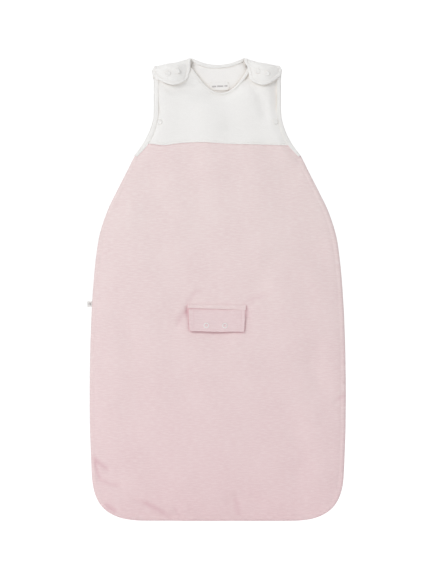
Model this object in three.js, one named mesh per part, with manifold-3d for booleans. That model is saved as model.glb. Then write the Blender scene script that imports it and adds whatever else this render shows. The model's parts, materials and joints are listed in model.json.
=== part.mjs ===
// A sleeveless, padded baby sleeping bag: pink body, white yoke, shoulder tabs with snaps, a covered
// harness slot and a concealed two-way zip down one side and round the hem.
// Millimetres. X is the wearer's width, -Y is the front, Z is up. Heights (h) are counted from the hem;
// the exported group is lowered so that its origin lies between the two shoulder folds.

import * as THREE from 'three';
import { mergeVertices } from 'three/addons/utils/BufferGeometryUtils.js';
import Module from 'manifold-3d';

const wasm = await Module();
wasm.setup();

// ---------------------------------------------------------------- driving dimensions
const HANG_HEIGHT = 885;          // height of the origin, between the shoulder folds
const HALF_WIDTH = 249;           // half of the widest stretch, at the belly
const HEM_HALF = 140;             // half of the straight stretch of hem
const UNDERARM = { x: 161, h: 711 };
const SLANT_FOOT = { x: 207, h: 620 };   // lower end of the straight slanted side
const STRAP_EDGE = 123;           // outer edge of the shoulder straps
const STRAP_FOOT = 800;           // height where the armhole edge becomes straight
const YOKE_SEAM = 734;            // seam between the pink body and the white yoke
const SHOULDER_TOP = 897;         // top of the shoulder fold at its inner end
const SHOULDER_SLOPE = 0.158;     // fall of the shoulder towards the arm
const FOLD_RISE = 11;             // height of the fold over the hinge line of the tabs

const NECK_HALF = 53;             // half width of the back neckline
const NECK_LOW = { x: 5.5, h: 833.4 };   // lowest point of the front neckline, a little off the middle
const NECK_LEFT = { x: -49.5, h: 881.5 };
const NECK_RIGHT = { x: 56, h: 876 };
const BACK_NECK_LOW = 888;
const BACK_NECK_HIGH = 899.5;
const BINDING = 6;                // width of the neck and armhole bindings

const BELLY = 20;                 // half depth that the belly adds to the edge of the cavity
const CHEST_LOSS = 0.62;          // share of it lost towards the shoulders
const SEAM_MARGIN = 12;           // flat strip along every edge
const SEWN_GAP = 0.25;            // half gap between front and back where they are sewn together
const ZIP_GAP = 4.45;             // half gap where the zip lies between them
const ARM_GAP = 9;                // extra half gap at the middle of the armholes
const BACK_FLAT = 0.92;           // share of the bulge at which the back is flat

const GAP = 0.3;                  // clearance between touching pieces
const LINING = 1.2;
const WADDING = 4;
const OUTER = 1.2;
const WADDING_START = LINING + GAP;
const OUTER_START = WADDING_START + WADDING + GAP;
const PANEL = OUTER_START + OUTER;

const FOLD_TOP = { x: 192, h: 650 };     // upper end of the line on which the front corner folds back
const FOLD_FOOT = { x: 0, h: 2 };        // lower end of it
const ZIP_END_X = -34;                   // where the zip stops on the hem
const ZIP_TOP_H = 703;

const SLOT = { halfWidth: 45, low: 396, high: 408 };
const FILLING_MARGIN = 8;
const WELT = { left: -57, right: 54, low: 413.4, high: 423, thick: 2.4 };
const FLAP = { left: -57, right: 54, low: 367, high: 413, thick: 2.6, corner: 5 };
const STAND_OFF = 1.2;            // clearance that the snap studs need under a flap or tab
const FLAP_SNAPS = [-22, 14];
const FLAP_SNAP_HEIGHT = 380;

const TAB = { inner: 57, outer: 124.5, bottomX: 88, bottom: 847, shoulder: 872, thick: 2.8 };
const TAB_SNAPS = [[78, 873.6], [96, 869]];
const UNDERARM_SNAP = { x: 112.5, h: 775.5 };
const SNAP_RADIUS = 5.4;
const STUD_RADIUS = 4.6;
const STUD_SEAT = 0.55;           // clearance of a stud on the puffy strap
const TAB_STAND_OFF = 1.6;
const POST_RADIUS = 1.7;
const SOCKET_HOLE = 2.7;

const CUT_DEPTH = 60;             // half depth of the tools that cut right through the bag
const CUT_TOP = SHOULDER_TOP + 20;

const PINK = 0xe5cfd0;
const WHITE = 0xeeedeb;
const LINING_WHITE = 0xe9e6e4;
const FILLING = 0xf4f2ec;
const SNAP_WHITE = 0xf2f1ef;
const ZIP_PINK = 0xdcc3c6;

// ---------------------------------------------------------------- outline
const { smoothstep, lerp, clamp } = THREE.MathUtils;
const point = (x, h) => new THREE.Vector2(x, h);
const curve = (...corners) => new THREE.CubicBezierCurve(...corners.map(([x, h]) => point(x, h)));

// The right-hand edge from the middle of the hem to the shoulder.
const body = new THREE.CurvePath();
body.add(new THREE.LineCurve(point(ZIP_END_X - 20, 0), point(HEM_HALF, 0)));
body.add(curve([HEM_HALF, 0], [205, 0], [241, 20], [245, 87]));
body.add(curve([245, 87], [247, 130], [249, 170], [HALF_WIDTH, 215]));
body.add(curve([HALF_WIDTH, 215], [250, 320], [246, 462], [233, 542]));
body.add(curve([233, 542], [228.5, 568], [217, 600], [SLANT_FOOT.x, SLANT_FOOT.h]));
body.add(new THREE.LineCurve(point(SLANT_FOOT.x, SLANT_FOOT.h), point(UNDERARM.x, UNDERARM.h)));

const armhole = new THREE.CurvePath();
armhole.add(curve([UNDERARM.x, UNDERARM.h], [133, 745], [STRAP_EDGE, 775], [STRAP_EDGE, STRAP_FOOT]));
armhole.add(new THREE.LineCurve(point(STRAP_EDGE, STRAP_FOOT), point(STRAP_EDGE, SHOULDER_TOP)));

// The front neckline from its left end through its lowest point to its right end.
const neckline = new THREE.CurvePath();
neckline.add(curve([NECK_LEFT.x, NECK_LEFT.h], [-30, 853], [-14, NECK_LOW.h], [NECK_LOW.x, NECK_LOW.h]));
neckline.add(curve([NECK_LOW.x, NECK_LOW.h], [27, NECK_LOW.h], [41, 851], [NECK_RIGHT.x, NECK_RIGHT.h]));

const edgePoints = [...body.getSpacedPoints(160), ...armhole.getSpacedPoints(60)];

function halfWidth(h) {
  if (h <= 0) return HEM_HALF;
  const next = edgePoints.findIndex((p) => p.y >= h && p.x > HEM_HALF * 0.8);
  const a = edgePoints[next - 1];
  const b = edgePoints[next];
  return lerp(a.x, b.x, clamp((h - a.y) / (b.y - a.y), 0, 1));
}

const shoulderTop = (x) => SHOULDER_TOP - SHOULDER_SLOPE * (Math.abs(x) - 52);
const hingeHeight = (x) => shoulderTop(x) - FOLD_RISE;
const strapTop = (x) => hingeHeight(x) - 1;

// ---------------------------------------------------------------- depth of the bag
function edgeGap(x, h) {
  const zip = smoothstep(x, -95, -60) * (1 - smoothstep(h, UNDERARM.h, 745));
  const armSpan = clamp((h - UNDERARM.h) / (SHOULDER_TOP - UNDERARM.h), 0, 1);
  return lerp(SEWN_GAP, ZIP_GAP, zip) + ARM_GAP * Math.sin(Math.PI * armSpan) ** 2;
}

function bulge(x, h) {
  const rise = clamp((h - SEAM_MARGIN) / 170, 0, 1);
  const across = clamp(Math.abs(x) / (halfWidth(h) - SEAM_MARGIN), 0, 1);
  return (1 - (1 - rise) ** 2) ** 0.6 * (1 - across ** 2) ** 0.7;
}

// Half depth of the cavity at a point of the front (side -1) or the back (side 1).
function cavity(x, h, side) {
  const share = side > 0 ? Math.min(bulge(x, h), BACK_FLAT) : bulge(x, h);
  const depth = ZIP_GAP + BELLY * (1 - CHEST_LOSS * smoothstep(h, 450, 840));
  return lerp(edgeGap(x, h), depth, share);
}

const onPanel = (x, h, side, offset) => new THREE.Vector3(x, side * (cavity(x, h, side) + offset), h);

function outwardNormal(x, h, side) {
  const step = 3;
  const across = onPanel(x + step, h, side, PANEL).sub(onPanel(x - step, h, side, PANEL));
  const up = onPanel(x, h + step, side, PANEL).sub(onPanel(x, h - step, side, PANEL));
  return across.cross(up).multiplyScalar(-side).normalize();
}

// ---------------------------------------------------------------- mesh helpers
function geometryFrom(points, triangles) {
  const geometry = new THREE.BufferGeometry().setFromPoints(points);
  geometry.setIndex(triangles.flat());
  return geometry;
}

// A closed sheet between two surfaces, each given as a function of (column, row) counts.
function slab(columns, rows, outerAt, innerAt) {
  const points = [];
  const triangles = [];
  const index = (layer, i, j) => (layer * (rows + 1) + j) * (columns + 1) + i;
  for (const surface of [outerAt, innerAt]) {
    for (let j = 0; j <= rows; j++) {
      for (let i = 0; i <= columns; i++) points.push(surface(i, j));
    }
  }
  const quad = (a, b, c, d) => triangles.push([a, b, c], [a, c, d]);
  for (let j = 0; j < rows; j++) {
    for (let i = 0; i < columns; i++) {
      quad(index(0, i, j), index(0, i + 1, j), index(0, i + 1, j + 1), index(0, i, j + 1));
      quad(index(1, i, j), index(1, i, j + 1), index(1, i + 1, j + 1), index(1, i + 1, j));
    }
  }
  for (let i = 0; i < columns; i++) {
    quad(index(0, i, 0), index(1, i, 0), index(1, i + 1, 0), index(0, i + 1, 0));
    quad(index(0, i, rows), index(0, i + 1, rows), index(1, i + 1, rows), index(1, i, rows));
  }
  for (let j = 0; j < rows; j++) {
    quad(index(0, 0, j), index(0, 0, j + 1), index(1, 0, j + 1), index(1, 0, j));
    quad(index(0, columns, j), index(1, columns, j), index(1, columns, j + 1), index(0, columns, j + 1));
  }
  return facingOut(geometryFrom(points, triangles));
}

// Stations along an edge, from a list of (x, h) points; the normal points away from the fabric.
function stationsAlong(points, turn) {
  return points.map((position, k) => {
    const before = points[Math.max(k - 1, 0)];
    const after = points[Math.min(k + 1, points.length - 1)];
    const tangent = after.clone().sub(before).normalize();
    return { position, normal: point(tangent.y * turn, -tangent.x * turn) };
  });
}

// The stations' points, moved into the fabric.
function insetBy(stations, distance) {
  return stations.map(({ position, normal }) => position.clone().addScaledVector(normal, -distance));
}

// A closed section, a list of [outward, depth] pairs or a function giving it, carried along an edge.
function sweep(stations, sectionAt) {
  const section = typeof sectionAt === 'function' ? sectionAt : () => sectionAt;
  const count = section(stations[0]).length;
  const points = [];
  for (const station of stations) {
    for (const [out, depth] of section(station)) {
      const { position, normal } = station;
      points.push(new THREE.Vector3(position.x + out * normal.x, depth, position.y + out * normal.y));
    }
  }
  const triangles = [];
  for (let s = 0; s + 1 < stations.length; s++) {
    for (let k = 0; k < count; k++) {
      const a = s * count + k;
      const b = s * count + ((k + 1) % count);
      triangles.push([a, b, b + count], [a, b + count, a + count]);
    }
  }
  const capAt = (s, turn) => {
    const flat = section(stations[s]).map(([out, depth]) => point(out, depth));
    for (const [a, b, c] of THREE.ShapeUtils.triangulateShape(flat, [])) {
      const base = s * count;
      triangles.push(turn ? [base + a, base + c, base + b] : [base + a, base + b, base + c]);
    }
  };
  const firstCap = section(stations[0]).map(([out, depth]) => point(out, depth));
  const clockwise = THREE.ShapeUtils.isClockWise(firstCap);
  capAt(0, !clockwise);
  capAt(stations.length - 1, clockwise);
  return facingOut(geometryFrom(points, triangles));
}

function signedVolume(geometry) {
  const position = geometry.getAttribute('position');
  const index = geometry.getIndex();
  const corner = (k) => new THREE.Vector3().fromBufferAttribute(position, index.getX(k));
  let volume = 0;
  for (let k = 0; k < index.count; k += 3) volume += corner(k).dot(corner(k + 1).cross(corner(k + 2))) / 6;
  return volume;
}

function facingOut(geometry) {
  if (signedVolume(geometry) > 0) return geometry;
  const index = geometry.getIndex();
  for (let k = 0; k < index.count; k += 3) {
    const second = index.getX(k + 1);
    index.setX(k + 1, index.getX(k + 2));
    index.setX(k + 2, second);
  }
  return geometry;
}

function onlyPositions(geometry) {
  const bare = geometry.clone();
  bare.deleteAttribute('normal');
  bare.deleteAttribute('uv');
  return mergeVertices(bare, 1e-4);
}

function solid(geometry) {
  const bare = onlyPositions(geometry);
  const vertProperties = new Float32Array(bare.getAttribute('position').array);
  const triVerts = new Uint32Array(bare.getIndex().array);
  return new wasm.Manifold(new wasm.Mesh({ numProp: 3, vertProperties, triVerts }));
}

function fromSolid(manifold) {
  const mesh = manifold.getMesh();
  const geometry = new THREE.BufferGeometry();
  geometry.setAttribute('position', new THREE.BufferAttribute(new Float32Array(mesh.vertProperties), 3));
  geometry.setIndex(new THREE.BufferAttribute(new Uint32Array(mesh.triVerts), 1));
  return geometry;
}

const subtract = (geometry, ...tools) => fromSolid(
  tools.reduce((left, tool) => left.subtract(solid(tool)), solid(geometry)));
const intersect = (geometry, tool) => fromSolid(solid(geometry).intersect(solid(tool)));

// A flat shape drawn in (x, h), extruded in depth from one y to another.
function plate(shape, nearY, farY, curveSegments = 6) {
  const settings = { depth: farY - nearY, bevelEnabled: false, curveSegments };
  const geometry = new THREE.ExtrudeGeometry(shape, settings);
  geometry.rotateX(Math.PI / 2);
  geometry.translate(0, farY, 0);
  return geometry;
}

function rectangle(left, right, low, high, corner = 0) {
  const shape = new THREE.Shape();
  shape.moveTo(left + corner, low);
  shape.lineTo(right - corner, low);
  if (corner) shape.absarc(right - corner, low + corner, corner, -Math.PI / 2, 0);
  shape.lineTo(right, high);
  shape.lineTo(left, high);
  shape.lineTo(left, low + corner);
  if (corner) shape.absarc(left + corner, low + corner, corner, Math.PI, Math.PI * 1.5);
  return shape;
}

// ---------------------------------------------------------------- scene helpers
const bag = new THREE.Group();
bag.position.z = -HANG_HEIGHT;

function add(name, geometry, color, roughness = 0.9, parent = bag) {
  const material = new THREE.MeshStandardMaterial({ color, roughness, metalness: 0 });
  const mesh = new THREE.Mesh(geometry, material);
  mesh.name = name;
  parent.add(mesh);
  return mesh;
}

const SIDES = [['left', -1], ['right', 1]];

// ---------------------------------------------------------------- panels
const BODY_ROWS = [0, 3, 12, 22, 42, 80, 140, 220, 310, 400, 480, 542, 584, 620, 711, 733.7];
const YOKE_ROWS = 4;
const COLUMNS = 12;

function columnX(column, h) {
  const edge = halfWidth(h);
  if (column === 0) return -edge;
  if (column === COLUMNS) return edge;
  return (edge - SEAM_MARGIN) * Math.sin(Math.PI * ((column - 1) / (COLUMNS - 2) - 0.5));
}

// Builds one layer of a panel between two rows; rows past the body rows reach up to the strap tops.
function panelLayer(side, start, thickness, firstRow, lastRow, yokeFoot) {
  const place = (column, row, offset) => {
    const bodyRow = Math.min(row, BODY_ROWS.length - 1);
    let h = BODY_ROWS[bodyRow];
    if (row >= BODY_ROWS.length - 1 && lastRow > BODY_ROWS.length - 1) {
      const share = (row - BODY_ROWS.length + 1) / YOKE_ROWS;
      const topX = columnX(column, STRAP_FOOT);
      const top = Math.abs(topX) < NECK_HALF ? BACK_NECK_HIGH - BINDING : strapTop(topX);
      h = lerp(yokeFoot, top, share);
    }
    return onPanel(columnX(column, h), h, side, offset);
  };
  return slab(COLUMNS, lastRow - firstRow,
    (i, j) => place(i, j + firstRow, start + thickness),
    (i, j) => place(i, j + firstRow, start));
}

const TOP_ROW = BODY_ROWS.length - 1;
const lower = (side, start, thickness) => panelLayer(side, start, thickness, 0, TOP_ROW, 0);
const LAST_ROW = TOP_ROW + YOKE_ROWS;
const upper = (side, start, thickness) => panelLayer(side, start, thickness, TOP_ROW, LAST_ROW, YOKE_SEAM);
const whole = (side, start, thickness) =>
  panelLayer(side, start, thickness, 0, LAST_ROW, BODY_ROWS[TOP_ROW]);

// The edge of the front neckline, with a short upright stretch at each end.
function frontNeckEdge() {
  const points = neckline.getSpacedPoints(18);
  points.unshift(point(NECK_LEFT.x - 1.5, strapTop(NECK_LEFT.x)));
  points.push(point(NECK_RIGHT.x + 2, strapTop(NECK_RIGHT.x)));
  return points;
}

function frontNeckCutter() {
  const corners = insetBy(stationsAlong(frontNeckEdge(), -1), BINDING + GAP);
  corners.push(point(corners.at(-1).x, CUT_TOP), point(corners[0].x, CUT_TOP));
  return plate(new THREE.Shape(corners), -CUT_DEPTH, 0);
}

function backNeckHeight(x) {
  return lerp(BACK_NECK_LOW, BACK_NECK_HIGH, (x / NECK_HALF) ** 2);
}

function backNeckCutter() {
  const shape = new THREE.Shape();
  const across = NECK_HALF + 3;
  const steps = 12;
  shape.moveTo(across, CUT_TOP);
  shape.lineTo(-across, CUT_TOP);
  for (let k = 0; k <= steps; k++) {
    const x = lerp(-across, across, k / steps);
    shape.lineTo(x, backNeckHeight(x) - BINDING - GAP - 1);
  }
  return plate(shape, 0, CUT_DEPTH);
}

// The edge of an armhole, from the underarm to the top of the strap.
function armholeEdge(side) {
  const top = strapTop(STRAP_EDGE);
  const points = armhole.getSpacedPoints(40).filter((p, k) => k % 4 === 0 && p.y < top - 2);
  points.push(point(STRAP_EDGE, top));
  return points.map((p) => point(p.x * side, p.y));
}

function armholeCutter(sign) {
  const stations = stationsAlong(armholeEdge(sign), sign);
  const edge = insetBy(stations, BINDING + GAP);
  const { position, normal } = stations[0];
  const beyond = sign * (HALF_WIDTH + 50);
  edge.unshift(position.clone().addScaledVector(normal, 30));
  edge.push(point(edge.at(-1).x, CUT_TOP), point(beyond, CUT_TOP), point(beyond, edge[0].y));
  if (sign < 0) edge.reverse();
  return plate(new THREE.Shape(edge), -CUT_DEPTH, CUT_DEPTH);
}

// The way through a panel for the harness; the filling is cut back from it by a margin.
const slotCutter = (side, margin = 0) => {
  const inner = 5;
  const { halfWidth: half, low, high } = SLOT;
  const shape = rectangle(-half - margin, half + margin, low - margin, high + margin);
  return side > 0 ? plate(shape, inner, CUT_DEPTH) : plate(shape, -CUT_DEPTH, -inner);
};

// The front corner folds back on a straight line; each cutter takes away all that lies past that line.
function foldCutter(clearance, cornerSide) {
  const reach = 900;
  const along = new THREE.Vector2(FOLD_TOP.x - FOLD_FOOT.x, FOLD_TOP.h - FOLD_FOOT.h).normalize();
  const across = point(along.y, -along.x).multiplyScalar(cornerSide);
  const start = point(FOLD_FOOT.x, FOLD_FOOT.h).addScaledVector(across, clearance);
  const corners = [[-reach, 0], [reach, 0], [reach, reach], [-reach, reach]].map(([a, b]) =>
    start.clone().addScaledVector(along, a).addScaledVector(across, b));
  if (cornerSide < 0) corners.reverse();
  return plate(new THREE.Shape(corners.reverse()), -CUT_DEPTH, CUT_DEPTH);
}

const FOLD_GAP = 0.4;             // clearance on each side of the fold line
const keepMain = (geometry) => subtract(geometry, foldCutter(-FOLD_GAP, 1));
const keepCorner = (geometry) => subtract(geometry, foldCutter(-FOLD_GAP, -1));

const armholes = [armholeCutter(-1), armholeCutter(1)];
const frontOuter = subtract(lower(-1, OUTER_START, OUTER), slotCutter(-1), ...armholes);
const frontWadding = subtract(whole(-1, WADDING_START, WADDING), slotCutter(-1, FILLING_MARGIN),
  frontNeckCutter(), ...armholes);
const frontLining = subtract(whole(-1, 0, LINING), slotCutter(-1), frontNeckCutter(), ...armholes);
add('front_outer_main', keepMain(frontOuter), PINK);
add('front_outer_corner', keepCorner(frontOuter), PINK);
add('front_wadding_main', keepMain(frontWadding), FILLING);
add('front_wadding_corner', keepCorner(frontWadding), FILLING);
add('front_lining_main', keepMain(frontLining), LINING_WHITE);
add('front_lining_corner', keepCorner(frontLining), LINING_WHITE);
add('front_yoke', subtract(upper(-1, OUTER_START, OUTER), frontNeckCutter(), ...armholes), WHITE);

const backCuts = [backNeckCutter(), ...armholes];
const backWadding = subtract(whole(1, WADDING_START, WADDING), slotCutter(1, FILLING_MARGIN), ...backCuts);
add('back_outer_panel', subtract(lower(1, OUTER_START, OUTER), slotCutter(1), ...armholes), PINK);
add('back_wadding', backWadding, FILLING);
add('back_lining', subtract(whole(1, 0, LINING), slotCutter(1), ...backCuts), LINING_WHITE);
add('back_yoke', subtract(upper(1, OUTER_START, OUTER), ...backCuts), WHITE);

// ---------------------------------------------------------------- bindings
function bindingSection(side) {
  return ({ position, normal }) => {
    const inside = position.clone().addScaledVector(normal, -BINDING);
    const near = side * Math.max(cavity(inside.x, inside.y, side) - GAP, 0.2);
    const far = side * (cavity(inside.x, inside.y, side) + PANEL + GAP);
    const middle = (near + far) / 2;
    return [[-BINDING, near], [-1, near], [0, middle], [-1, far], [-BINDING, far]];
  };
}

function backNeckEdge() {
  const points = [];
  const steps = 12;
  for (let k = 0; k <= steps; k++) {
    const x = lerp(-NECK_HALF, NECK_HALF, k / steps);
    points.push(point(x, backNeckHeight(x)));
  }
  return points;
}

add('front_neck_binding', sweep(stationsAlong(frontNeckEdge(), -1), bindingSection(-1)), WHITE);
add('back_neck_binding', sweep(stationsAlong(backNeckEdge(), -1), bindingSection(1)), WHITE);
for (const [label, sign] of SIDES) {
  const stations = stationsAlong(armholeEdge(sign), sign);
  stations[0].position = stations[0].position.clone().lerp(stations[1].position, 0.1);
  add(`front_armhole_binding_${label}`, sweep(stations, bindingSection(-1)), WHITE);
  add(`back_armhole_binding_${label}`, sweep(stations, bindingSection(1)), WHITE);
}

// ---------------------------------------------------------------- snaps
// A piece turned about its own Y axis, set on a panel with its -Y end facing away from the fabric.
function placeOnPanel(geometry, x, h, side, offset) {
  const normal = outwardNormal(x, h, side);
  const turn = new THREE.Quaternion().setFromUnitVectors(new THREE.Vector3(0, -1, 0), normal);
  const at = onPanel(x, h, side, PANEL).addScaledVector(normal, offset);
  return geometry.clone().applyQuaternion(turn).translate(at.x, at.y, at.z);
}

const turned = (profile, segments = 10) => new THREE.LatheGeometry(
  profile.map(([r, y]) => point(r, y)), segments);

// The visible ring and the socket behind it, clamped through a flap of fabric.
function socketPiece(thick) {
  return turned([[SOCKET_HOLE, 0], [SNAP_RADIUS, 0], [SNAP_RADIUS, -thick], [SNAP_RADIUS - 1, -thick - 0.7],
    [SOCKET_HOLE + 0.6, -thick - 0.7], [SOCKET_HOLE, -thick], [SOCKET_HOLE, 0]].reverse());
}

const studPiece = () => turned([[0, 0], [STUD_RADIUS, 0], [STUD_RADIUS, -0.6], [POST_RADIUS, -0.7],
  [POST_RADIUS, -2.6], [0, -2.9]].reverse());
const capPiece = () => turned([[0, 0], [SNAP_RADIUS - 0.2, 0], [SNAP_RADIUS - 0.2, -0.8], [3.6, -1.4],
  [0, -1.2]].reverse());
const HOLE = { radius: SNAP_RADIUS + 0.35, behind: 8, ahead: -12 };
const holeTool = () => turned([[0, HOLE.ahead], [HOLE.radius, HOLE.ahead], [HOLE.radius, HOLE.behind],
  [0, HOLE.behind]]);

// ---------------------------------------------------------------- shoulder folds and tabs
const TAB_START = PANEL + TAB_STAND_OFF;
const FOLD_THICK = 2.6;
const FOLD_OFF = 2.1;

// Outer or inner line of the fold, from low on the back, over the top, to the hinge line at the front.
function foldPoint(x, row, rows, inset) {
  const h = hingeHeight(x);
  const back = cavity(x, h, 1) + PANEL + FOLD_OFF + FOLD_THICK - inset;
  const front = -(cavity(x, h, -1) + TAB_START + TAB.thick - inset);
  const tail = 2;
  if (row < tail) return new THREE.Vector3(x, back, h + lerp(-14, 0, row / tail));
  const angle = (Math.PI * (row - tail)) / (rows - tail);
  const middle = (back + front) / 2;
  const reach = (back - front) / 2;
  return new THREE.Vector3(x, middle + reach * Math.cos(angle), h + (FOLD_RISE - inset) * Math.sin(angle));
}

function shoulderFold(sign) {
  const columns = 3;
  const rows = 10;
  const place = (i, j, inset) => foldPoint(sign * lerp(TAB.inner, TAB.outer, i / columns), j, rows, inset);
  return slab(columns, rows, (i, j) => place(i, j, 0), (i, j) => place(i, j, FOLD_THICK));
}

function tabBottom(x) {
  const away = Math.abs(x) - TAB.bottomX;
  if (away < 0) {
    const share = away / (TAB.bottomX - TAB.inner + 0.3);
    return TAB.shoulder - (TAB.shoulder - TAB.bottom) * Math.sqrt(1 - share ** 2);
  }
  return TAB.shoulder - (TAB.shoulder - TAB.bottom) * (1 - (away / (TAB.outer - TAB.bottomX)) ** 2);
}

function shoulderTab(sign) {
  const columns = 10;
  const rows = 3;
  const place = (i, j, offset) => {
    const share = 0.5 - 0.5 * Math.cos((Math.PI * i) / columns);
    const x = sign * lerp(TAB.inner, TAB.outer, share);
    const h = lerp(tabBottom(x), hingeHeight(x) - 1, j / rows);
    return onPanel(x, h, -1, offset);
  };
  const blank = slab(columns, rows,
    (i, j) => place(i, j, TAB_START + TAB.thick),
    (i, j) => place(i, j, TAB_START));
  const holes = TAB_SNAPS.map(([x, h]) => placeOnPanel(holeTool(), sign * x, h, -1, TAB_STAND_OFF));
  return subtract(blank, ...holes);
}

for (const [label, sign] of SIDES) {
  add(`shoulder_fold_${label}`, shoulderFold(sign), WHITE);
  add(`shoulder_tab_${label}`, shoulderTab(sign), WHITE);
  TAB_SNAPS.forEach(([x, h], k) => {
    const place = k === 0 ? 'inner' : 'outer';
    const socket = placeOnPanel(socketPiece(TAB.thick), sign * x, h, -1, TAB_STAND_OFF);
    const stud = placeOnPanel(studPiece(), sign * x, h, -1, STUD_SEAT);
    add(`shoulder_snap_socket_${label}_${place}`, socket, SNAP_WHITE, 0.45);
    add(`shoulder_snap_stud_${label}_${place}`, stud, SNAP_WHITE, 0.45);
  });
}

// ---------------------------------------------------------------- underarm snaps
for (const [label, sign] of SIDES) {
  const { x, h } = UNDERARM_SNAP;
  for (const [face, side] of [['front', -1], ['back', 1]]) {
    const cap = placeOnPanel(capPiece(), sign * x, h, side, STAND_OFF);
    add(`underarm_snap_${face}_${label}`, cap, SNAP_WHITE, 0.45);
  }
}

// ---------------------------------------------------------------- harness slots
const flapBack = -(cavity(0, FLAP_SNAP_HEIGHT, -1) + PANEL + STAND_OFF);
const flapFront = flapBack - FLAP.thick;
const flapShape = rectangle(FLAP.left, FLAP.right, FLAP.low, FLAP.high, FLAP.corner);
const flapHoles = FLAP_SNAPS.map((x) => holeTool().translate(x, flapBack, FLAP_SNAP_HEIGHT));
add('harness_flap', subtract(plate(flapShape, flapFront, flapBack), ...flapHoles), PINK);
add('harness_welt', plate(rectangle(WELT.left, WELT.right, WELT.low, WELT.high),
  flapBack + 0.4 - WELT.thick, flapBack + 0.4), PINK);
FLAP_SNAPS.forEach((x, k) => {
  const label = k === 0 ? 'left' : 'right';
  const socket = socketPiece(FLAP.thick).translate(x, flapBack, FLAP_SNAP_HEIGHT);
  const stud = studPiece().translate(x, flapBack + STAND_OFF - GAP, FLAP_SNAP_HEIGHT);
  add(`harness_snap_socket_${label}`, socket, SNAP_WHITE, 0.45);
  add(`harness_snap_stud_${label}`, stud, SNAP_WHITE, 0.45);
});

function slotFrame(side) {
  const rim = 7;
  const shape = rectangle(-SLOT.halfWidth - rim, SLOT.halfWidth + rim, SLOT.low - rim, SLOT.high + rim);
  const hole = rectangle(-SLOT.halfWidth, SLOT.halfWidth, SLOT.low, SLOT.high);
  shape.holes.push(new THREE.Path(hole.getPoints()));
  const face = side * (cavity(0, SLOT.low, side) + PANEL + GAP);
  return side > 0 ? plate(shape, face, face + 1.6) : plate(shape, face - 1.6, face);
}
add('back_slot_binding', slotFrame(1), PINK);

// ---------------------------------------------------------------- zip
const COIL = { near: 0.2, far: 2.2, low: -7, high: -4.6 };
const TAPE = { web: -8, thick: 0.7, leg: -12.6, far: 4.1 };

const zipPoints = body.getSpacedPoints(160).filter((p, k) => (k % 5 === 0)
  && (p.x >= ZIP_END_X || p.y > 1) && p.y < ZIP_TOP_H);
const zipStations = stationsAlong(zipPoints, 1);

function tapeSection(side) {
  const { web, thick, leg, far } = TAPE;
  return [[web, 0.3], [web + thick, 0.3], [web + thick, far], [leg, far], [leg, far - thick],
    [web, far - thick]].map(([out, depth]) => [out, depth * side]);
}

const coilSection = (side) => [[COIL.low, COIL.near], [COIL.high, COIL.near], [COIL.high, COIL.far],
  [COIL.low, COIL.far]].map(([out, depth]) => [out, depth * side]);

const HALFWAY = 400;              // height that parts the two fixed stretches of the front half of the zip
const across = [-HALF_WIDTH - 50, HALF_WIDTH + 50];
const aboveBelly = () => plate(rectangle(...across, HALFWAY, CUT_TOP), -CUT_DEPTH, CUT_DEPTH);
const belowBelly = () => plate(rectangle(...across, -50, HALFWAY), -CUT_DEPTH, CUT_DEPTH);

add('zip_tape_back', sweep(zipStations, tapeSection(1)), ZIP_PINK);
add('zip_coil_back', sweep(zipStations, coilSection(1)), ZIP_PINK, 0.5);
for (const [piece, section] of [['tape', tapeSection(-1)], ['coil', coilSection(-1)]]) {
  const strip = sweep(zipStations, section);
  const fixed = keepMain(strip);
  const roughness = piece === 'coil' ? 0.5 : 0.9;
  add(`zip_${piece}_front`, keepCorner(strip), ZIP_PINK, roughness);
  add(`zip_${piece}_front_top`, intersect(fixed, aboveBelly()), ZIP_PINK, roughness);
  add(`zip_${piece}_front_end`, intersect(fixed, belowBelly()), ZIP_PINK, roughness);
}

// A strip behind the zip that keeps it off the child.
const guardStations = zipStations.filter((station) => station.position.y > 14 || station.position.x > 20);
add('zip_guard', sweep(guardStations, [[-22, 1.7], [-9, 1.7], [-9, 2.5], [-22, 2.5]]), LINING_WHITE);

// Slider and puller are drawn with X along the zip, Y in depth and Z outward, from the outer edge of the bag.
const SLIDER = { length: 9, half: 3.7, floor: -6.9, roof: -4.2, top: -2.4, channel: 2.6 };
const PULLER = { length: 24, half: 2.4, low: -2, high: -0.9, pivot: -3, tail: 0.5 };

function sliderPiece() {
  const { half, floor, roof, top, channel, length } = SLIDER;
  const shape = new THREE.Shape([[-half, floor], [-channel, floor], [-channel, roof], [channel, roof],
    [channel, floor], [half, floor], [half, top + 1.6], [half - 0.8, top + 1.6], [half - 0.8, top],
    [0.8 - half, top], [0.8 - half, top + 1.6], [-half, top + 1.6]].map(([y, z]) => point(y, z)));
  const geometry = new THREE.ExtrudeGeometry(shape, { depth: length, bevelEnabled: false });
  geometry.rotateZ(Math.PI / 2);
  geometry.rotateY(Math.PI / 2);
  return geometry.translate(-length / 2, 0, 0);
}

function pullerPiece() {
  const { length, half, pivot, tail } = PULLER;
  const shape = new THREE.Shape();
  shape.moveTo(pivot - tail, -half);
  shape.lineTo(pivot + length - half, -half);
  shape.absarc(pivot + length - half, 0, half, -Math.PI / 2, Math.PI / 2);
  shape.lineTo(pivot - tail, half);
  const settings = { depth: PULLER.high - PULLER.low, bevelEnabled: false, curveSegments: 8 };
  return new THREE.ExtrudeGeometry(shape, settings).translate(0, 0, PULLER.low);
}

// Places a piece on the zip: where the edge is, and which way along it the piece points.
function zipGroup(x, h, along) {
  const group = new THREE.Group();
  const direction = new THREE.Vector3(along.x, 0, along.y).normalize();
  const depth = new THREE.Vector3(0, 1, 0);
  const outward = direction.clone().cross(depth);
  group.matrixAutoUpdate = false;
  group.matrix.makeBasis(direction, depth, outward).setPosition(x, 0, h);
  bag.add(group);
  return group;
}

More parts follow.
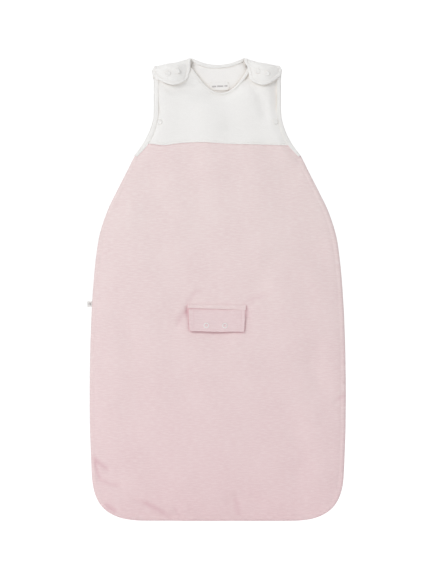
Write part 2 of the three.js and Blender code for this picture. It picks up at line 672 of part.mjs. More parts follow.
const slant = point(SLANT_FOOT.x - UNDERARM.x, SLANT_FOOT.h - UNDERARM.h).normalize();
const parked = point(UNDERARM.x, UNDERARM.h).addScaledVector(slant, 18);
const upperZip = zipGroup(parked.x, parked.y, slant);
const lowerZip = zipGroup(ZIP_END_X + 12, 0, point(-1, 0));
for (const [label, group, turn] of [['upper', upperZip, 0], ['lower', lowerZip, Math.PI]]) {
  add(`zip_slider_${label}`, sliderPiece(), SNAP_WHITE, 0.4, group);
  const puller = pullerPiece();
  puller.rotateZ(turn);
  add(`zip_puller_${label}`, puller, SNAP_WHITE, 0.4, group);
}

const stopBlock = (length) => new THREE.BoxGeometry(length, 6, 3);
add('zip_stop_upper', stopBlock(3).translate(-9, 0, -5.2), SNAP_WHITE, 0.4, upperZip);
add('zip_stop_lower', stopBlock(3).translate(15.5, 0, -5.2), SNAP_WHITE, 0.4, lowerZip);

// ---------------------------------------------------------------- labels
const SEAM_LABEL = { low: 416.5, high: 427, out: 9, thick: 0.8 };
const labelEdge = -halfWidth(420) - GAP;
add('side_label', plate(rectangle(labelEdge - SEAM_LABEL.out, labelEdge, SEAM_LABEL.low, SEAM_LABEL.high),
  -SEAM_LABEL.thick / 2, SEAM_LABEL.thick / 2), WHITE);

const NECK_LABEL = { left: -16, right: 22, low: 838, high: 854, thick: 0.5 };

function neckLabel() {
  const columns = 4;
  const rows = 2;
  const { left, right, low, high, thick } = NECK_LABEL;
  const place = (i, j, offset) =>
    onPanel(lerp(left, right, i / columns), lerp(low, high, j / rows), 1, offset);
  return slab(columns, rows, (i, j) => place(i, j, -GAP), (i, j) => place(i, j, -GAP - thick));
}
add('neck_label', neckLabel(), WHITE);

export default bag;
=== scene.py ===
import json
import math

import bpy
import numpy as np
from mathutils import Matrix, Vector, geometry, kdtree


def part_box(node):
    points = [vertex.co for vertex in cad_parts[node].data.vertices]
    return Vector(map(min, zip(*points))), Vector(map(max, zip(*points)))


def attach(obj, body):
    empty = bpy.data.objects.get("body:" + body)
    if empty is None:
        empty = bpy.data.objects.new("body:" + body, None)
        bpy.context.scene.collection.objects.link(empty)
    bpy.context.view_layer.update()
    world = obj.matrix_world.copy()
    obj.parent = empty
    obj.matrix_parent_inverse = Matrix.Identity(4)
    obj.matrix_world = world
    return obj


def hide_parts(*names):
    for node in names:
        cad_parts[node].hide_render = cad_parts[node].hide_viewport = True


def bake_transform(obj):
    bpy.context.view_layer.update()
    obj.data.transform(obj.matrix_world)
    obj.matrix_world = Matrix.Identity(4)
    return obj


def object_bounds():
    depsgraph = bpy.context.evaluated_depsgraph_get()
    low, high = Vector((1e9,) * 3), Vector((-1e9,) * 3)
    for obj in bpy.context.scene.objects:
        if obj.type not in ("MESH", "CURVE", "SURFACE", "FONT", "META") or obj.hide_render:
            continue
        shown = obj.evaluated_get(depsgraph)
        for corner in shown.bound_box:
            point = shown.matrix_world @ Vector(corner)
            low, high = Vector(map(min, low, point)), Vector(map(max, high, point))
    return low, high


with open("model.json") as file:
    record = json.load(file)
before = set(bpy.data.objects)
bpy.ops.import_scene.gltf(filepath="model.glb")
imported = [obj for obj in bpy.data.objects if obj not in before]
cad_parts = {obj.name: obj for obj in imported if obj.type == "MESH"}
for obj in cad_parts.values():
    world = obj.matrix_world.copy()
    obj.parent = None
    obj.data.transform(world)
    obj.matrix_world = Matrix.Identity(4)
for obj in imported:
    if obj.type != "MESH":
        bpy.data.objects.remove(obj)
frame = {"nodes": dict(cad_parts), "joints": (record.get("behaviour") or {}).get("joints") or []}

# A sleeveless, padded baby sleeping bag. The cloth is drawn flat, as a pattern in millimetres: x is the
# width and h the height over the hem. y is the depth, with the front at -y. to_frame() puts it in place.

CAD_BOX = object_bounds()
MM = 0.001
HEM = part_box("back_outer_panel")[0].z
FRONT, BACK = -1, 1

# ------------------------------------------------------------------ sizes, in millimetres
HALF_WIDTH = 249
UNDERARM = (161, 711)
STRAP_EDGE = 123           # outer edge of the straps
STRAP_FOOT = 800           # where the armhole's curve ends and its straight stretch begins
SHOULDER_TOP = 897
SHOULDER_SLOPE = 0.158     # how steeply the shoulders fall outwards
FOLD_RISE = 11             # height of the shoulder folds over the line that the tabs turn about
NECK_HALF = 53

BELLY = 20                 # half depth that the belly adds to the cavity
CHEST_LOSS = 0.62          # share of that which the chest lacks
SEWN_GAP = 0.4             # half gap between the panels at a sewn edge
ZIP_GAP = 4.45             # and along the zip
ARM_GAP = 9                # and in the middle of an armhole, on top of either
BACK_FLAT = 0.92           # about the largest share of the depth that the back takes up
PANEL = 7                  # lining, wadding and jersey together
BOUND = 0.5                # share of that left where a binding squeezes it
ROLL = 5                   # how far in from the edge the panel starts to round over
JERSEY = 1.1               # thickness of the jersey

ZIP_END_X = -34
ZIP_TOP_H = 703
SLOT = (-45, 45, 396, 408)
FLAP = {"left": -57, "right": 54, "low": 367, "high": 413}
FLAP_SNAPS = [(-22, 380.5), (14, 380)]
TAB = {"inner": 56, "outer": 124.5, "bottom_x": 83.5, "bottom": 847, "shoulder": 872}
TAB_SNAPS = [(78, 874), (96, 869.5)]
UNDERARM_SNAP = (112.5, 775.5)
SNAP_RADIUS = 5.3


# ------------------------------------------------------------------ plane curves
CURVE_POINTS = 28


def bezier(a, b, c, d):
    t = np.linspace(0, 1, CURVE_POINTS)[:, None]
    a, b, c, d = (np.array(p, float) for p in (a, b, c, d))
    return (1 - t) ** 3 * a + 3 * (1 - t) ** 2 * t * b + 3 * (1 - t) * t**2 * c + t**3 * d


def spaced(line, step):
    """The same line with points a step apart."""
    line = np.asarray(line, float)
    along = np.concatenate([[0], np.cumsum(np.linalg.norm(np.diff(line, axis=0), axis=1))])
    at = np.linspace(0, along[-1], max(2, round(along[-1] / step) + 1))
    return np.stack([np.interp(at, along, line[:, k]) for k in range(line.shape[1])], axis=1)


def mirrored(line):
    return (line * [-1, 1])[::-1]


def tangents(line):
    step = np.gradient(line, axis=0)
    return step / np.linalg.norm(step, axis=1)[:, None]


def right_of(line):
    """Unit directions to the right of a line, for someone who walks along it."""
    t = tangents(line)
    return np.stack([t[:, 1], -t[:, 0]], axis=1)


def outside_of(loop):
    """The same round a closed loop, whose right is its outside when it runs counter-clockwise."""
    return right_of(np.vstack([loop[-1:], loop, loop[:1]]))[1:-1]


def come_round(loop):
    """A loop with its first point once more at the end."""
    return np.vstack([loop, loop[:1]])


def at_depth(flat, y):
    """Points in space from pattern points and a depth for all or for each."""
    return np.stack([flat[:, 0], np.broadcast_to(y, len(flat)), flat[:, 1]], axis=1)


def tree_of(points):
    """A search tree of pattern points."""
    tree = kdtree.KDTree(len(points))
    for k, p in enumerate(points):
        tree.insert((*p, 0), k)
    tree.balance()
    return tree


def distance(points, line):
    """How far each point is from a line of segments."""
    best = np.full(len(points), np.inf)
    for start, step in zip(line[:-1], np.diff(line, axis=0)):
        t = np.clip((points - start) @ step / max(step @ step, 1e-9), 0, 1)
        best = np.minimum(best, np.linalg.norm(points - start - t[:, None] * step, axis=1))
    return best


def inside(points, loop):
    x, y = points[:, 0], points[:, 1]
    odd = np.zeros(len(points), bool)
    for (ax, ay), (bx, by) in zip(loop, np.roll(loop, -1, axis=0)):
        if ay != by:
            odd ^= ((ay > y) != (by > y)) & (x < (bx - ax) * (y - ay) / (by - ay) + ax)
    return odd


def bump(distance_from, width):
    return np.exp(-((distance_from / width) ** 2))


def smooth(t, low=0.0, high=1.0):
    t = np.clip((t - low) / (high - low), 0, 1)
    return t * t * (3 - 2 * t)


def lerp(a, b, t):
    return a + (b - a) * t


def shoulder_top(x):
    return SHOULDER_TOP - SHOULDER_SLOPE * (np.abs(x) - 52)


def hinge_height(x):
    return shoulder_top(x) - FOLD_RISE


def strap_top(x):
    return hinge_height(x) - 1


SIDE = np.vstack([
    [[0, 0]],
    bezier((140, 0), (205, 0), (241, 20), (245, 87)),
    bezier((245, 87), (247, 130), (249, 170), (HALF_WIDTH, 215))[1:],
    bezier((HALF_WIDTH, 215), (250, 320), (246, 462), (233, 542))[1:],
    bezier((233, 542), (228.5, 568), (217, 600), (207, 620))[1:],
    [UNDERARM],
])
ARMHOLE = np.vstack([
    bezier(UNDERARM, (133, 745), (STRAP_EDGE, 775), (STRAP_EDGE, STRAP_FOOT)),
    [[STRAP_EDGE, strap_top(STRAP_EDGE)]],
])
RIGHT_EDGE = np.vstack([SIDE, ARMHOLE[1:]])
OUTLINE = np.vstack([mirrored(RIGHT_EDGE), RIGHT_EDGE[1:]])
NECK_LOW = (5.5, 833.4)      # the lowest point of the front neckline lies a little off the middle
FRONT_NECK = np.vstack([
    bezier((-49.5, 881.5), (-30, 853), (-14, NECK_LOW[1]), NECK_LOW),
    bezier(NECK_LOW, (27, NECK_LOW[1]), (41, 851), (56, 876))[1:],
    [[58, strap_top(58)]],
])
BACK_NECK_X = np.linspace(-NECK_HALF - 7, NECK_HALF + 7, 31)
BACK_NECK = np.stack([BACK_NECK_X, lerp(888, 903, (BACK_NECK_X / NECK_HALF) ** 2)
                      - 0.16 * np.clip(np.abs(BACK_NECK_X) - NECK_HALF + 3, 0, 20) ** 2], axis=1)


def half_width(h):
    return np.interp(h, RIGHT_EDGE[1:, 1], RIGHT_EDGE[1:, 0])


def yoke_seam(x):
    """Height of the seam between body and yoke, which wavers a little."""
    return 731.5 - 0.012 * x + 3.2 * bump(x + 30, 45) - 3.3 * bump(x + 104, 18)


# ------------------------------------------------------------------ depth of the bag
def edge_gap(x, h):
    zip_side = smooth(x, -95, -60) * (1 - smooth(h, UNDERARM[1], 745))
    arm = np.clip((h - UNDERARM[1]) / (SHOULDER_TOP - UNDERARM[1]), 0, 1)
    return lerp(SEWN_GAP, ZIP_GAP, zip_side) + ARM_GAP * np.sin(math.pi * arm) ** 2


def cavity(x, h, side):
    """Half depth of the inside at a point of the front or back."""
    rise = np.clip(h / 170, 0, 1)
    across = np.clip(np.abs(x) / half_width(h), 0, 1)
    share = (1 - (1 - rise) ** 2) ** 0.62 * (1 - across**2) ** 0.72
    if side == BACK:
        share = np.minimum(share, BACK_FLAT + 0.03 * share)
    depth = ZIP_GAP + BELLY * (1 - CHEST_LOSS * smooth(h, 450, 840))
    near_neck = 1 - smooth(np.hypot(x / 58, (h - 865) / 36), 0.9, 1.7)
    return lerp(edge_gap(x, h), depth, share) * (1 - 0.9 * near_neck)


def thickness(points, side):
    """Thickness of a panel, which the bindings squeeze along the neck and armholes."""
    neck = FRONT_NECK if side == FRONT else BACK_NECK
    near = np.minimum(distance(points, neck), distance(np.abs(points * [1, 0]) + points * [0, 1], ARMHOLE))
    return PANEL * lerp(BOUND, 1, smooth(near, 4, 24))


# ------------------------------------------------------------------ soft shape
# Folds and dents pressed into the front: a line in the pattern, its depth and its width. Broad ones press in
# deeper than the depth given, and only the narrow ones also get painted shade in their colour.
BROAD = 9
BROAD_DEPTH = 1.45
FRONT_CREASES = [
    (bezier((-243, 124), (-234, 114), (-226, 108), (-212, 101)), 1.9, 6),
    (bezier((-240, 122), (-237, 104), (-233, 92), (-228, 82)), 1.6, 4.5),
    (bezier((-232, 80), (-220, 76), (-206, 72), (-188, 70)), 1.2, 5),
    (bezier((-160, 43), (-132, 34), (-110, 20), (-92, 6)), 1.9, 6),
    (bezier((-84, 30), (-80, 22), (-76, 14), (-74, 6)), 0.8, 5),
    (bezier((-218, 34), (-212, 27), (-206, 23), (-200, 19)), 1.8, 8),
    (bezier((34, 48), (36, 36), (40, 22), (41, 10)), 1.2, 8),
    (bezier((249, 247), (245, 243), (241, 240), (232, 236)), 1.4, 5),
    (bezier((-59, 408), (-66, 404), (-74, 396), (-78, 380)), 1.5, 7),
    (bezier((-60, 424), (-54, 434), (-44, 446), (-26, 452)), 1.0, 6),
    (bezier((54, 424), (66, 432), (80, 437), (96, 438)), 0.9, 6),
    (bezier((-59, 396), (-60, 402), (-60, 410), (-59, 417)), 1.5, 3),
    (bezier((56.5, 394), (57.5, 400), (57.5, 408), (56.5, 414)), 1.5, 3),
    (bezier((60, 388), (66, 376), (64, 360), (52, 346)), 0.8, 10),
    (bezier((98, 872), (104, 850), (120, 830), (114, 806)), 1.9, 10),
    (bezier((58, 862), (72, 840), (88, 814), (92, 790)), 2.3, 10),
    (bezier((-98, 842), (-80, 836), (-62, 838), (-48, 846)), 2.0, 10),
    (bezier((-112, 800), (-86, 792), (-60, 796), (-40, 806)), 1.1, 13),
    (bezier((20, 768), (44, 760), (76, 762), (104, 752)), 1.2, 12),
    (bezier((-150, 590), (-128, 600), (-110, 596), (-96, 604)), 1.6, 20),
    (bezier((108, 510), (130, 524), (150, 528), (176, 520)), 1.7, 22),
    (bezier((40, 452), (56, 446), (70, 450), (86, 460)), 1.5, 18),
    (bezier((-152, 238), (-176, 222), (-180, 200), (-170, 176)), 1.5, 22),
    (bezier((28, 40), (44, 52), (64, 50), (82, 34)), 1.8, 16),
    (bezier((-60, 260), (-20, 252), (30, 268), (70, 262)), 1.2, 24),
    (bezier((150, 170), (166, 150), (172, 120), (160, 96)), 1.3, 22),
]


def ripple(x, h, side):
    """Slow rises and falls that a filled panel keeps when it lies flat."""
    turn = 0.7 if side == FRONT else 2.1
    wave = 1.0 * np.sin(x / 43 + 1.3 * np.sin(h / 118 + turn) + turn)
    wave += 0.8 * np.sin(h / 63 + 1.5 * np.sin(x / 97 - turn))
    wave += 0.9 * np.sin((x + 0.7 * h) / 24 + turn) * np.sin((x - 0.5 * h) / 33)
    wave += 0.42 * np.sin((x - 0.35 * h) / 15 + 2 * np.sin(h / 70)) * np.sin((h + 0.3 * x) / 21 + turn)
    calm = np.clip((np.asarray(h) - 730) / 60, 0, 1)
    return wave * (1 - 0.25 * calm)


def pressed(points, line, width):
    """A bump along a line, worked out only for the points that it can reach."""
    reach = 3 * width
    near = np.all((points > line.min(axis=0) - reach) & (points < line.max(axis=0) + reach), axis=1)
    result = np.zeros(len(points))
    result[near] = bump(distance(points[near], line[::3]), width)
    return result


def painted_fold_shade(points, side):
    """Painted shade for each point, 0 to 1: by depth in narrow pressed folds, and strong on the turned edge
    near the hem.
    """
    if side == BACK:
        return np.zeros(len(points))
    amount = np.zeros(len(points))
    for line, depth, width in (fold for fold in FRONT_CREASES if fold[2] < BROAD):
        middle, half = line[len(line) // 2], np.linalg.norm(line[-1] - line[0]) / 2
        fading = 1 - smooth(np.linalg.norm(points - middle, axis=1) / (half + width), 0.35, 1)
        amount += 0.3 * depth * pressed(points, line, 0.8 * width) * fading
    in_from_edge = np.where(inside(points, OUTLINE), distance(points, OUTLINE), 0)
    # painted shade along the rolled edge of the lower body
    amount += 0.85 * (1 - smooth(in_from_edge, 0, 3.5)) * (1 - smooth(points[:, 1], 120, 330))
    return np.clip(amount, 0, 1)


def relief(points, side):
    """What sewing and use do to the outside: yoke seam with its topstitch, edge seam, ripples and folds."""
    x, h = points.T
    up = h - yoke_seam(x)
    out = 0.4 * bump(up - 2.4, 1.5) - 1.0 * bump(up, 1.4) - 0.4 * bump(up - 4.6, 0.9)
    edge = distance(points, OUTLINE)
    out -= 0.5 * bump(edge - 9.5, 2.2) * (h < UNDERARM[1] - 8)
    out += 0.25 * np.sin(x / 2.9 + 2 * np.sin(h / 31)) * bump(up, 9)
    out += ripple(x, h, side) * smooth(edge, 8, 60)
    if side == FRONT:
        for line, depth, width in FRONT_CREASES:
            out -= depth * (BROAD_DEPTH if width > BROAD else 1) * pressed(points, line, width)
    return out


DRAPE = {}                 # side: (tree of pattern points, how far the cloth moved at each)


def draped(points, side):
    """How far the simulated cloth moved at each point of a panel."""
    if side not in DRAPE:
        return np.zeros((len(points), 3))
    tree, moved = DRAPE[side]
    result = np.empty((len(points), 3))
    for k, (x, h) in enumerate(points):
        found = tree.find_n((x, h, 0), 6)
        weights = np.array([1 / (reach + 1.5) ** 2 for _, _, reach in found])
        result[k] = weights @ moved[[index for _, index, _ in found]] / weights.sum()
    return result


def lift(points, side, share):
    """Pattern points at their depth: share 0 is the inside of the lining, 1 the outside of the jersey."""
    points = np.asarray(points, float)
    x, h = points.T
    depth = cavity(x, h, side) + share * (thickness(points, side) + relief(points, side))
    return at_depth(points, side * depth) + draped(points, side)


def normals(points, side):
    """Outward directions of a panel at some pattern points."""
    step = 2
    across = lift(points + [step, 0], side, 1) - lift(points - [step, 0], side, 1)
    up = lift(points + [0, step], side, 1) - lift(points - [0, step], side, 1)
    n = np.cross(across, up) * -side
    return n / np.linalg.norm(n, axis=1)[:, None]


# ------------------------------------------------------------------ meshes
def to_frame(points):
    placed = np.asarray(points, float) * MM
    placed[:, 2] += HEM
    return placed


def make(name, points, faces, material, uv=None):
    """A mesh object from points in millimetres; uv is the pattern position of each point, in metres."""
    mesh = bpy.data.meshes.new(name)
    mesh.from_pydata(to_frame(points).tolist(), [], [list(map(int, f)) for f in faces])
    mesh.validate()
    mesh.polygons.foreach_set("use_smooth", [True] * len(mesh.polygons))
    layer = mesh.uv_layers.new(name="pattern")
    flat = np.asarray(points, float)[:, [0, 2]] * MM if uv is None else np.asarray(uv, float)
    corner = np.empty(len(mesh.loops), np.int32)
    mesh.loops.foreach_get("vertex_index", corner)
    layer.data.foreach_set("uv", flat[corner].astype(np.float32).ravel())
    mesh.materials.append(material)
    piece = bpy.data.objects.new(name, mesh)
    bpy.context.scene.collection.objects.link(piece)
    return piece


def face_out(points, faces, towards):
    """The same faces turned so that they look the way of the vector towards, taken all together."""
    p, f = np.asarray(points), np.asarray(faces)
    n = np.cross(p[f[:, 1]] - p[f[:, 0]], p[f[:, 2]] - p[f[:, 0]]).sum(axis=0)
    return f if n @ np.asarray(towards, float) > 0 else f[:, ::-1]


def turning_left(flat, faces):
    """The same faces, counter-clockwise in the pattern."""
    a, b, c = (flat[faces[:, k]] for k in range(3))
    area = (b - a)[:, 0] * (c - a)[:, 1] - (b - a)[:, 1] * (c - a)[:, 0]
    return faces if area.sum() > 0 else faces[:, ::-1]


def with_modifier(piece, kind, **settings):
    """Adds a modifier and applies it."""
    modifier = piece.modifiers.new(kind.lower(), kind)
    for key, value in settings.items():
        setattr(modifier, key, value)
    graph = bpy.context.evaluated_depsgraph_get()
    mesh = bpy.data.meshes.new_from_object(piece.evaluated_get(graph), depsgraph=graph)
    piece.modifiers.clear()
    old, piece.data = piece.data, mesh
    name = old.name
    bpy.data.meshes.remove(old)
    mesh.name = name
    return piece


def triangulate(loops, step, rings=(), lines=()):
    """Fills the plane region inside the first loop and outside the others. Rings of points follow the border
    at the distances given, lines are kept as edges, and the rest is an even pattern a step apart."""
    points, edges = [], []
    for loop in loops:
        first, count = len(points), len(loop)
        points.extend(loop)
        edges.extend((first + k, first + (k + 1) % count) for k in range(count))
    borders = [come_round(loop) for loop in loops]

    def region(p):
        keep = inside(p, loops[0])
        for hole in loops[1:]:
            keep &= ~inside(p, hole)
        return keep

    def off_border(p):
        return np.min([distance(p, line) for line in borders], axis=0)

    taken = []
    for ring in rings:
        for loop in loops:
            out = outside_of(loop)
            for turn in (1, -1):
                moved = loop - turn * ring * out
                moved = moved[region(moved)]
                taken.append(moved[off_border(moved) > ring * 0.97])
    for line in lines:
        free = region(line) & (off_border(line) > 1)
        kept = line[free]
        first = len(points) + sum(len(t) for t in taken)
        where = np.flatnonzero(free)
        edges.extend((first + k, first + k + 1) for k in range(len(kept) - 1) if where[k + 1] - where[k] == 1)
        taken.append(kept)
    low, high = loops[0].min(axis=0), loops[0].max(axis=0)
    rows = np.arange(low[1], high[1], step * 0.866)
    grid = np.vstack([
        np.stack([np.arange(low[0] + step / 2 * (k % 2), high[0], step), 0 * np.arange(
            low[0] + step / 2 * (k % 2), high[0], step) + row], axis=1)
        for k, row in enumerate(rows)
    ])
    grid = grid[region(grid)]
    grid = grid[off_border(grid) > max(rings, default=0) + step * 0.55]
    if taken and sum(len(t) for t in taken):
        tree = tree_of(np.vstack(taken))
        grid = grid[[tree.find((*p, 0))[2] > step * 0.5 for p in grid]]
    cloud = np.vstack([np.array(points), *taken, grid])
    made, _, faces, *_ = geometry.delaunay_2d_cdt([Vector(p) for p in cloud], edges, [], 0, 1e-3)
    made, faces = np.array(made), np.array(faces)
    return made, faces[region(made[faces].mean(axis=1))]


def border_of(faces):
    """The outer edges of a set of triangles, as pairs of points in the order of their faces."""
    pairs = {}
    for a, b, c in faces:
        for edge in ((a, b), (b, c), (c, a)):
            pairs[edge] = True
    return [edge for edge in pairs if edge[::-1] not in pairs]


def pad(name, flat, faces, top, bottom, material):
    """A closed piece from one flat mesh and its two sides, which share their points on the border."""
    pairs = border_of(faces)
    rim = sorted({k for pair in pairs for k in pair})
    other = np.arange(len(flat)) + len(flat)
    other[rim] = rim
    points = np.vstack([top, bottom])
    points[rim] = (top[rim] + bottom[rim]) / 2
    both = np.vstack([faces, other[faces[:, ::-1]]])
    used, both = np.unique(both, return_inverse=True)
    both = both.reshape(-1, 3)
    uv = np.vstack([flat, flat])[used] * MM
    return make(name, points[used], both, material, uv)


def skin(rows, count, closed=False):
    """Faces over a row of closed sections of count points each, with flat ends unless the row is closed."""
    faces = []
    for row in range(rows if closed else rows - 1):
        near, far = row * count, (row + 1) % rows * count
        faces.extend((near + k, near + (k + 1) % count, far + (k + 1) % count, far + k) for k in range(count))
    if not closed:
        faces += [tuple(range(count))[::-1], tuple(range((rows - 1) * count, rows * count))]
    return faces


def facing_out(points, faces):
    """The faces of a closed piece, turned so that they look outwards."""
    return faces if signed_volume(points, faces) >= 0 else [f[::-1] for f in faces]


def tube(name, sections, material, closed=False):
    """A skin over a row of closed sections, each the same number of points, with flat ends."""
    sections = np.asarray(sections, float)
    rows, count = sections.shape[:2]
    points = sections.reshape(-1, 3)
    faces = facing_out(points, skin(rows, count, closed))
    middle = sections.mean(axis=1)
    along = np.concatenate([[0], np.cumsum(np.linalg.norm(np.diff(middle, axis=0), axis=1))])
    round_it = np.linalg.norm(np.diff(sections[0], axis=0, append=sections[0][:1]), axis=1)
    around = np.concatenate([[0], np.cumsum(round_it)[:-1]])
    uv = np.stack(np.broadcast_arrays(around[None, :], along[:, None]), axis=2).reshape(-1, 2) * MM
    return make(name, points, faces, material, uv)


def signed_volume(points, faces):
    total = 0.0
    for face in faces:
        a = points[face[0]]
        for b, c in zip(face[1:], face[2:]):
            total += a @ np.cross(points[b], points[c])
    return total / 6


def joined(name, pieces, material):
    """One mesh object from a list of (points, faces) pairs."""
    points, faces, first = [], [], 0
    for part_points, part_faces in pieces:
        points.append(part_points)
        faces.extend(tuple(k + first for k in face) for face in part_faces)
        first += len(part_points)
    return make(name, np.vstack(points), faces, material)


LATHE_SIDES = 40


def lathe(profile):
    """Points and faces of a profile of (radius, height) pairs turned about z; it starts and ends on the axis
    or closes on itself."""
    ring = np.linspace(0, 2 * math.pi, LATHE_SIDES, endpoint=False)
    points, rows, faces = [], [], []
    for r, z in profile:
        first = len(points)
        points.extend([(0, 0, z)] if r == 0 else [(r * math.cos(a), r * math.sin(a), z) for a in ring])
        rows.append([first] * LATHE_SIDES if r == 0 else list(range(first, first + LATHE_SIDES)))
    closes = profile[0][0] > 0 and profile[-1][0] > 0
    for low, high in zip(rows, rows[1:] + rows[:1] if closes else rows[1:]):
        for k in range(LATHE_SIDES):
            after = (k + 1) % LATHE_SIDES
            faces.append(tuple(dict.fromkeys((low[k], low[after], high[after], high[k]))))
    return np.array(points, float), faces


def set_on(part, at, normal):
    """Moves a part drawn about z to a point, with z along the normal."""
    points, faces = part
    turn = np.array(Vector(normal).to_track_quat("Z", "Y").to_matrix())
    return points @ turn.T + at, faces


CAPSULE_SIDES = 6
# Along a capsule: the place, with its ends at 0 and 1, and the share of its radius there.
CAPSULE = ((-0.06, 0.25), (0.06, 0.8), (0.3, 1), (0.7, 1), (0.94, 0.8), (1.06, 0.25))


def capsule(a, b, radius, bow=None):
    """A stitch or a coil turn: a thin rounded tube from a to b, bowed out in the middle."""
    a, b = np.asarray(a, float), np.asarray(b, float)
    axis = (b - a) / np.linalg.norm(b - a)
    side = np.cross(axis, [0.31, 0.52, 0.79])
    side /= np.linalg.norm(side)
    other = np.cross(axis, side)
    points = []
    for t, size in CAPSULE:
        centre = lerp(a, b, t) + (0 if bow is None else bow * (1 - (2 * t - 1) ** 2))
        points.extend(centre + radius * size * (math.cos(q) * side + math.sin(q) * other)
                      for q in np.linspace(0, 2 * math.pi, CAPSULE_SIDES, endpoint=False))
    return np.array(points), skin(len(CAPSULE), CAPSULE_SIDES)


STITCH_PITCH = 3.1
STITCH_LENGTH = 2.3
STITCH_RADIUS = 0.28
STITCH_STEPS = 8           # points of the line to one pitch


def stitches(line, away):
    """A row of stitches along a line in space; away holds the way off the cloth at each of its points."""
    fine = spaced(np.hstack([line, away]), STITCH_PITCH / STITCH_STEPS)
    made = []
    run = round(STITCH_STEPS * STITCH_LENGTH / STITCH_PITCH)
    for k in range(0, len(fine) - run, STITCH_STEPS):
        up = fine[k, 3:] / np.linalg.norm(fine[k, 3:])
        made.append(capsule(fine[k, :3] - up * 0.12, fine[k + run, :3] - up * 0.12, STITCH_RADIUS, up * 0.3))
    return made


# ------------------------------------------------------------------ materials
class Finish:
    """A material with a Principled shader, and short ways to add nodes to it."""

    def __init__(self, name, roughness, **sockets):
        self.material = bpy.data.materials.new(name)
        self.material.use_nodes = True
        self.tree = self.material.node_tree
        self.shader = self.tree.nodes["Principled BSDF"]
        self.shader.inputs["Roughness"].default_value = roughness
        for key, value in sockets.items():
            self.shader.inputs[key.replace("_", " ")].default_value = value

    def link(self, source, target):
        if isinstance(source, (int, float, tuple)):
            target.default_value = source
        else:
            self.tree.links.new(source, target)

    def node(self, kind, output=0, inputs=None, **settings):
        made = self.tree.nodes.new("ShaderNode" + kind)
        for key, value in settings.items():
            setattr(made, key, value)
        for key, value in (inputs or {}).items():
            self.link(value, made.inputs[key])
        return made.outputs[output]

    def math(self, operation, a, b=0.0):
        return self.node("Math", operation=operation, inputs={0: a, 1: b})

    def times(self, a, b):
        return self.math("MULTIPLY", a, b)

    def plus(self, a, b):
        return self.math("ADD", a, b)

    def paint(self, colour_out):
        self.link(colour_out, self.shader.inputs["Base Color"])

    def mix(self, share, a, b, blend="MIX"):
        return self.node("Mix", 2, {0: share, 6: a, 7: b}, data_type="RGBA", blend_type=blend)

    def noise(self, place, scale, detail=3.0, stretch=(1, 1, 1)):
        spot = self.node("Mapping", inputs={"Vector": place, "Scale": stretch})
        return self.node("TexNoise", inputs={"Vector": spot, "Scale": scale, "Detail": detail})

    def spread(self, value, low, high, to_low, to_high):
        ends = {"From Min": low, "From Max": high, "To Min": to_low, "To Max": to_high}
        return self.node("MapRange", inputs={"Value": value, **ends})

    def bump(self, height, size, strength=1.0):
        """Raises the surface by height, from 0 to 1, times a size in metres."""
        self.link(self.node("Bump", inputs={"Height": height, "Distance": size, "Strength": strength}),
                  self.shader.inputs["Normal"])


def colour(r, g, b):
    return (r, g, b, 1.0)


def grey(tone):
    return colour(tone, tone, tone)


FOLD_SHADE_TINT = colour(0.86, 0.74, 0.785)      # tint of the painted shade in narrow folds and along the hem edge


def knit_loops(finish, place, wale, course):
    """Height of a jersey knit: columns of small V-shaped stitches, wale wide and course high, in metres."""
    axes = finish.node("SeparateXYZ", inputs={"Vector": place})
    split = axes.node.outputs
    across = finish.math("FRACT", finish.math("DIVIDE", split[0], wale))
    from_middle = finish.math("ABSOLUTE", finish.math("SUBTRACT", across, 0.5))
    slope = finish.times(from_middle, 1.3)
    slanted = finish.math("SUBTRACT", finish.math("DIVIDE", split[1], course), slope)
    leg = finish.math("SINE", finish.times(from_middle, 2 * math.pi))
    row = finish.math("ABSOLUTE", finish.math("SINE", finish.times(slanted, math.pi)))
    return finish.times(finish.math("POWER", leg, 0.6), finish.math("POWER", row, 0.5))


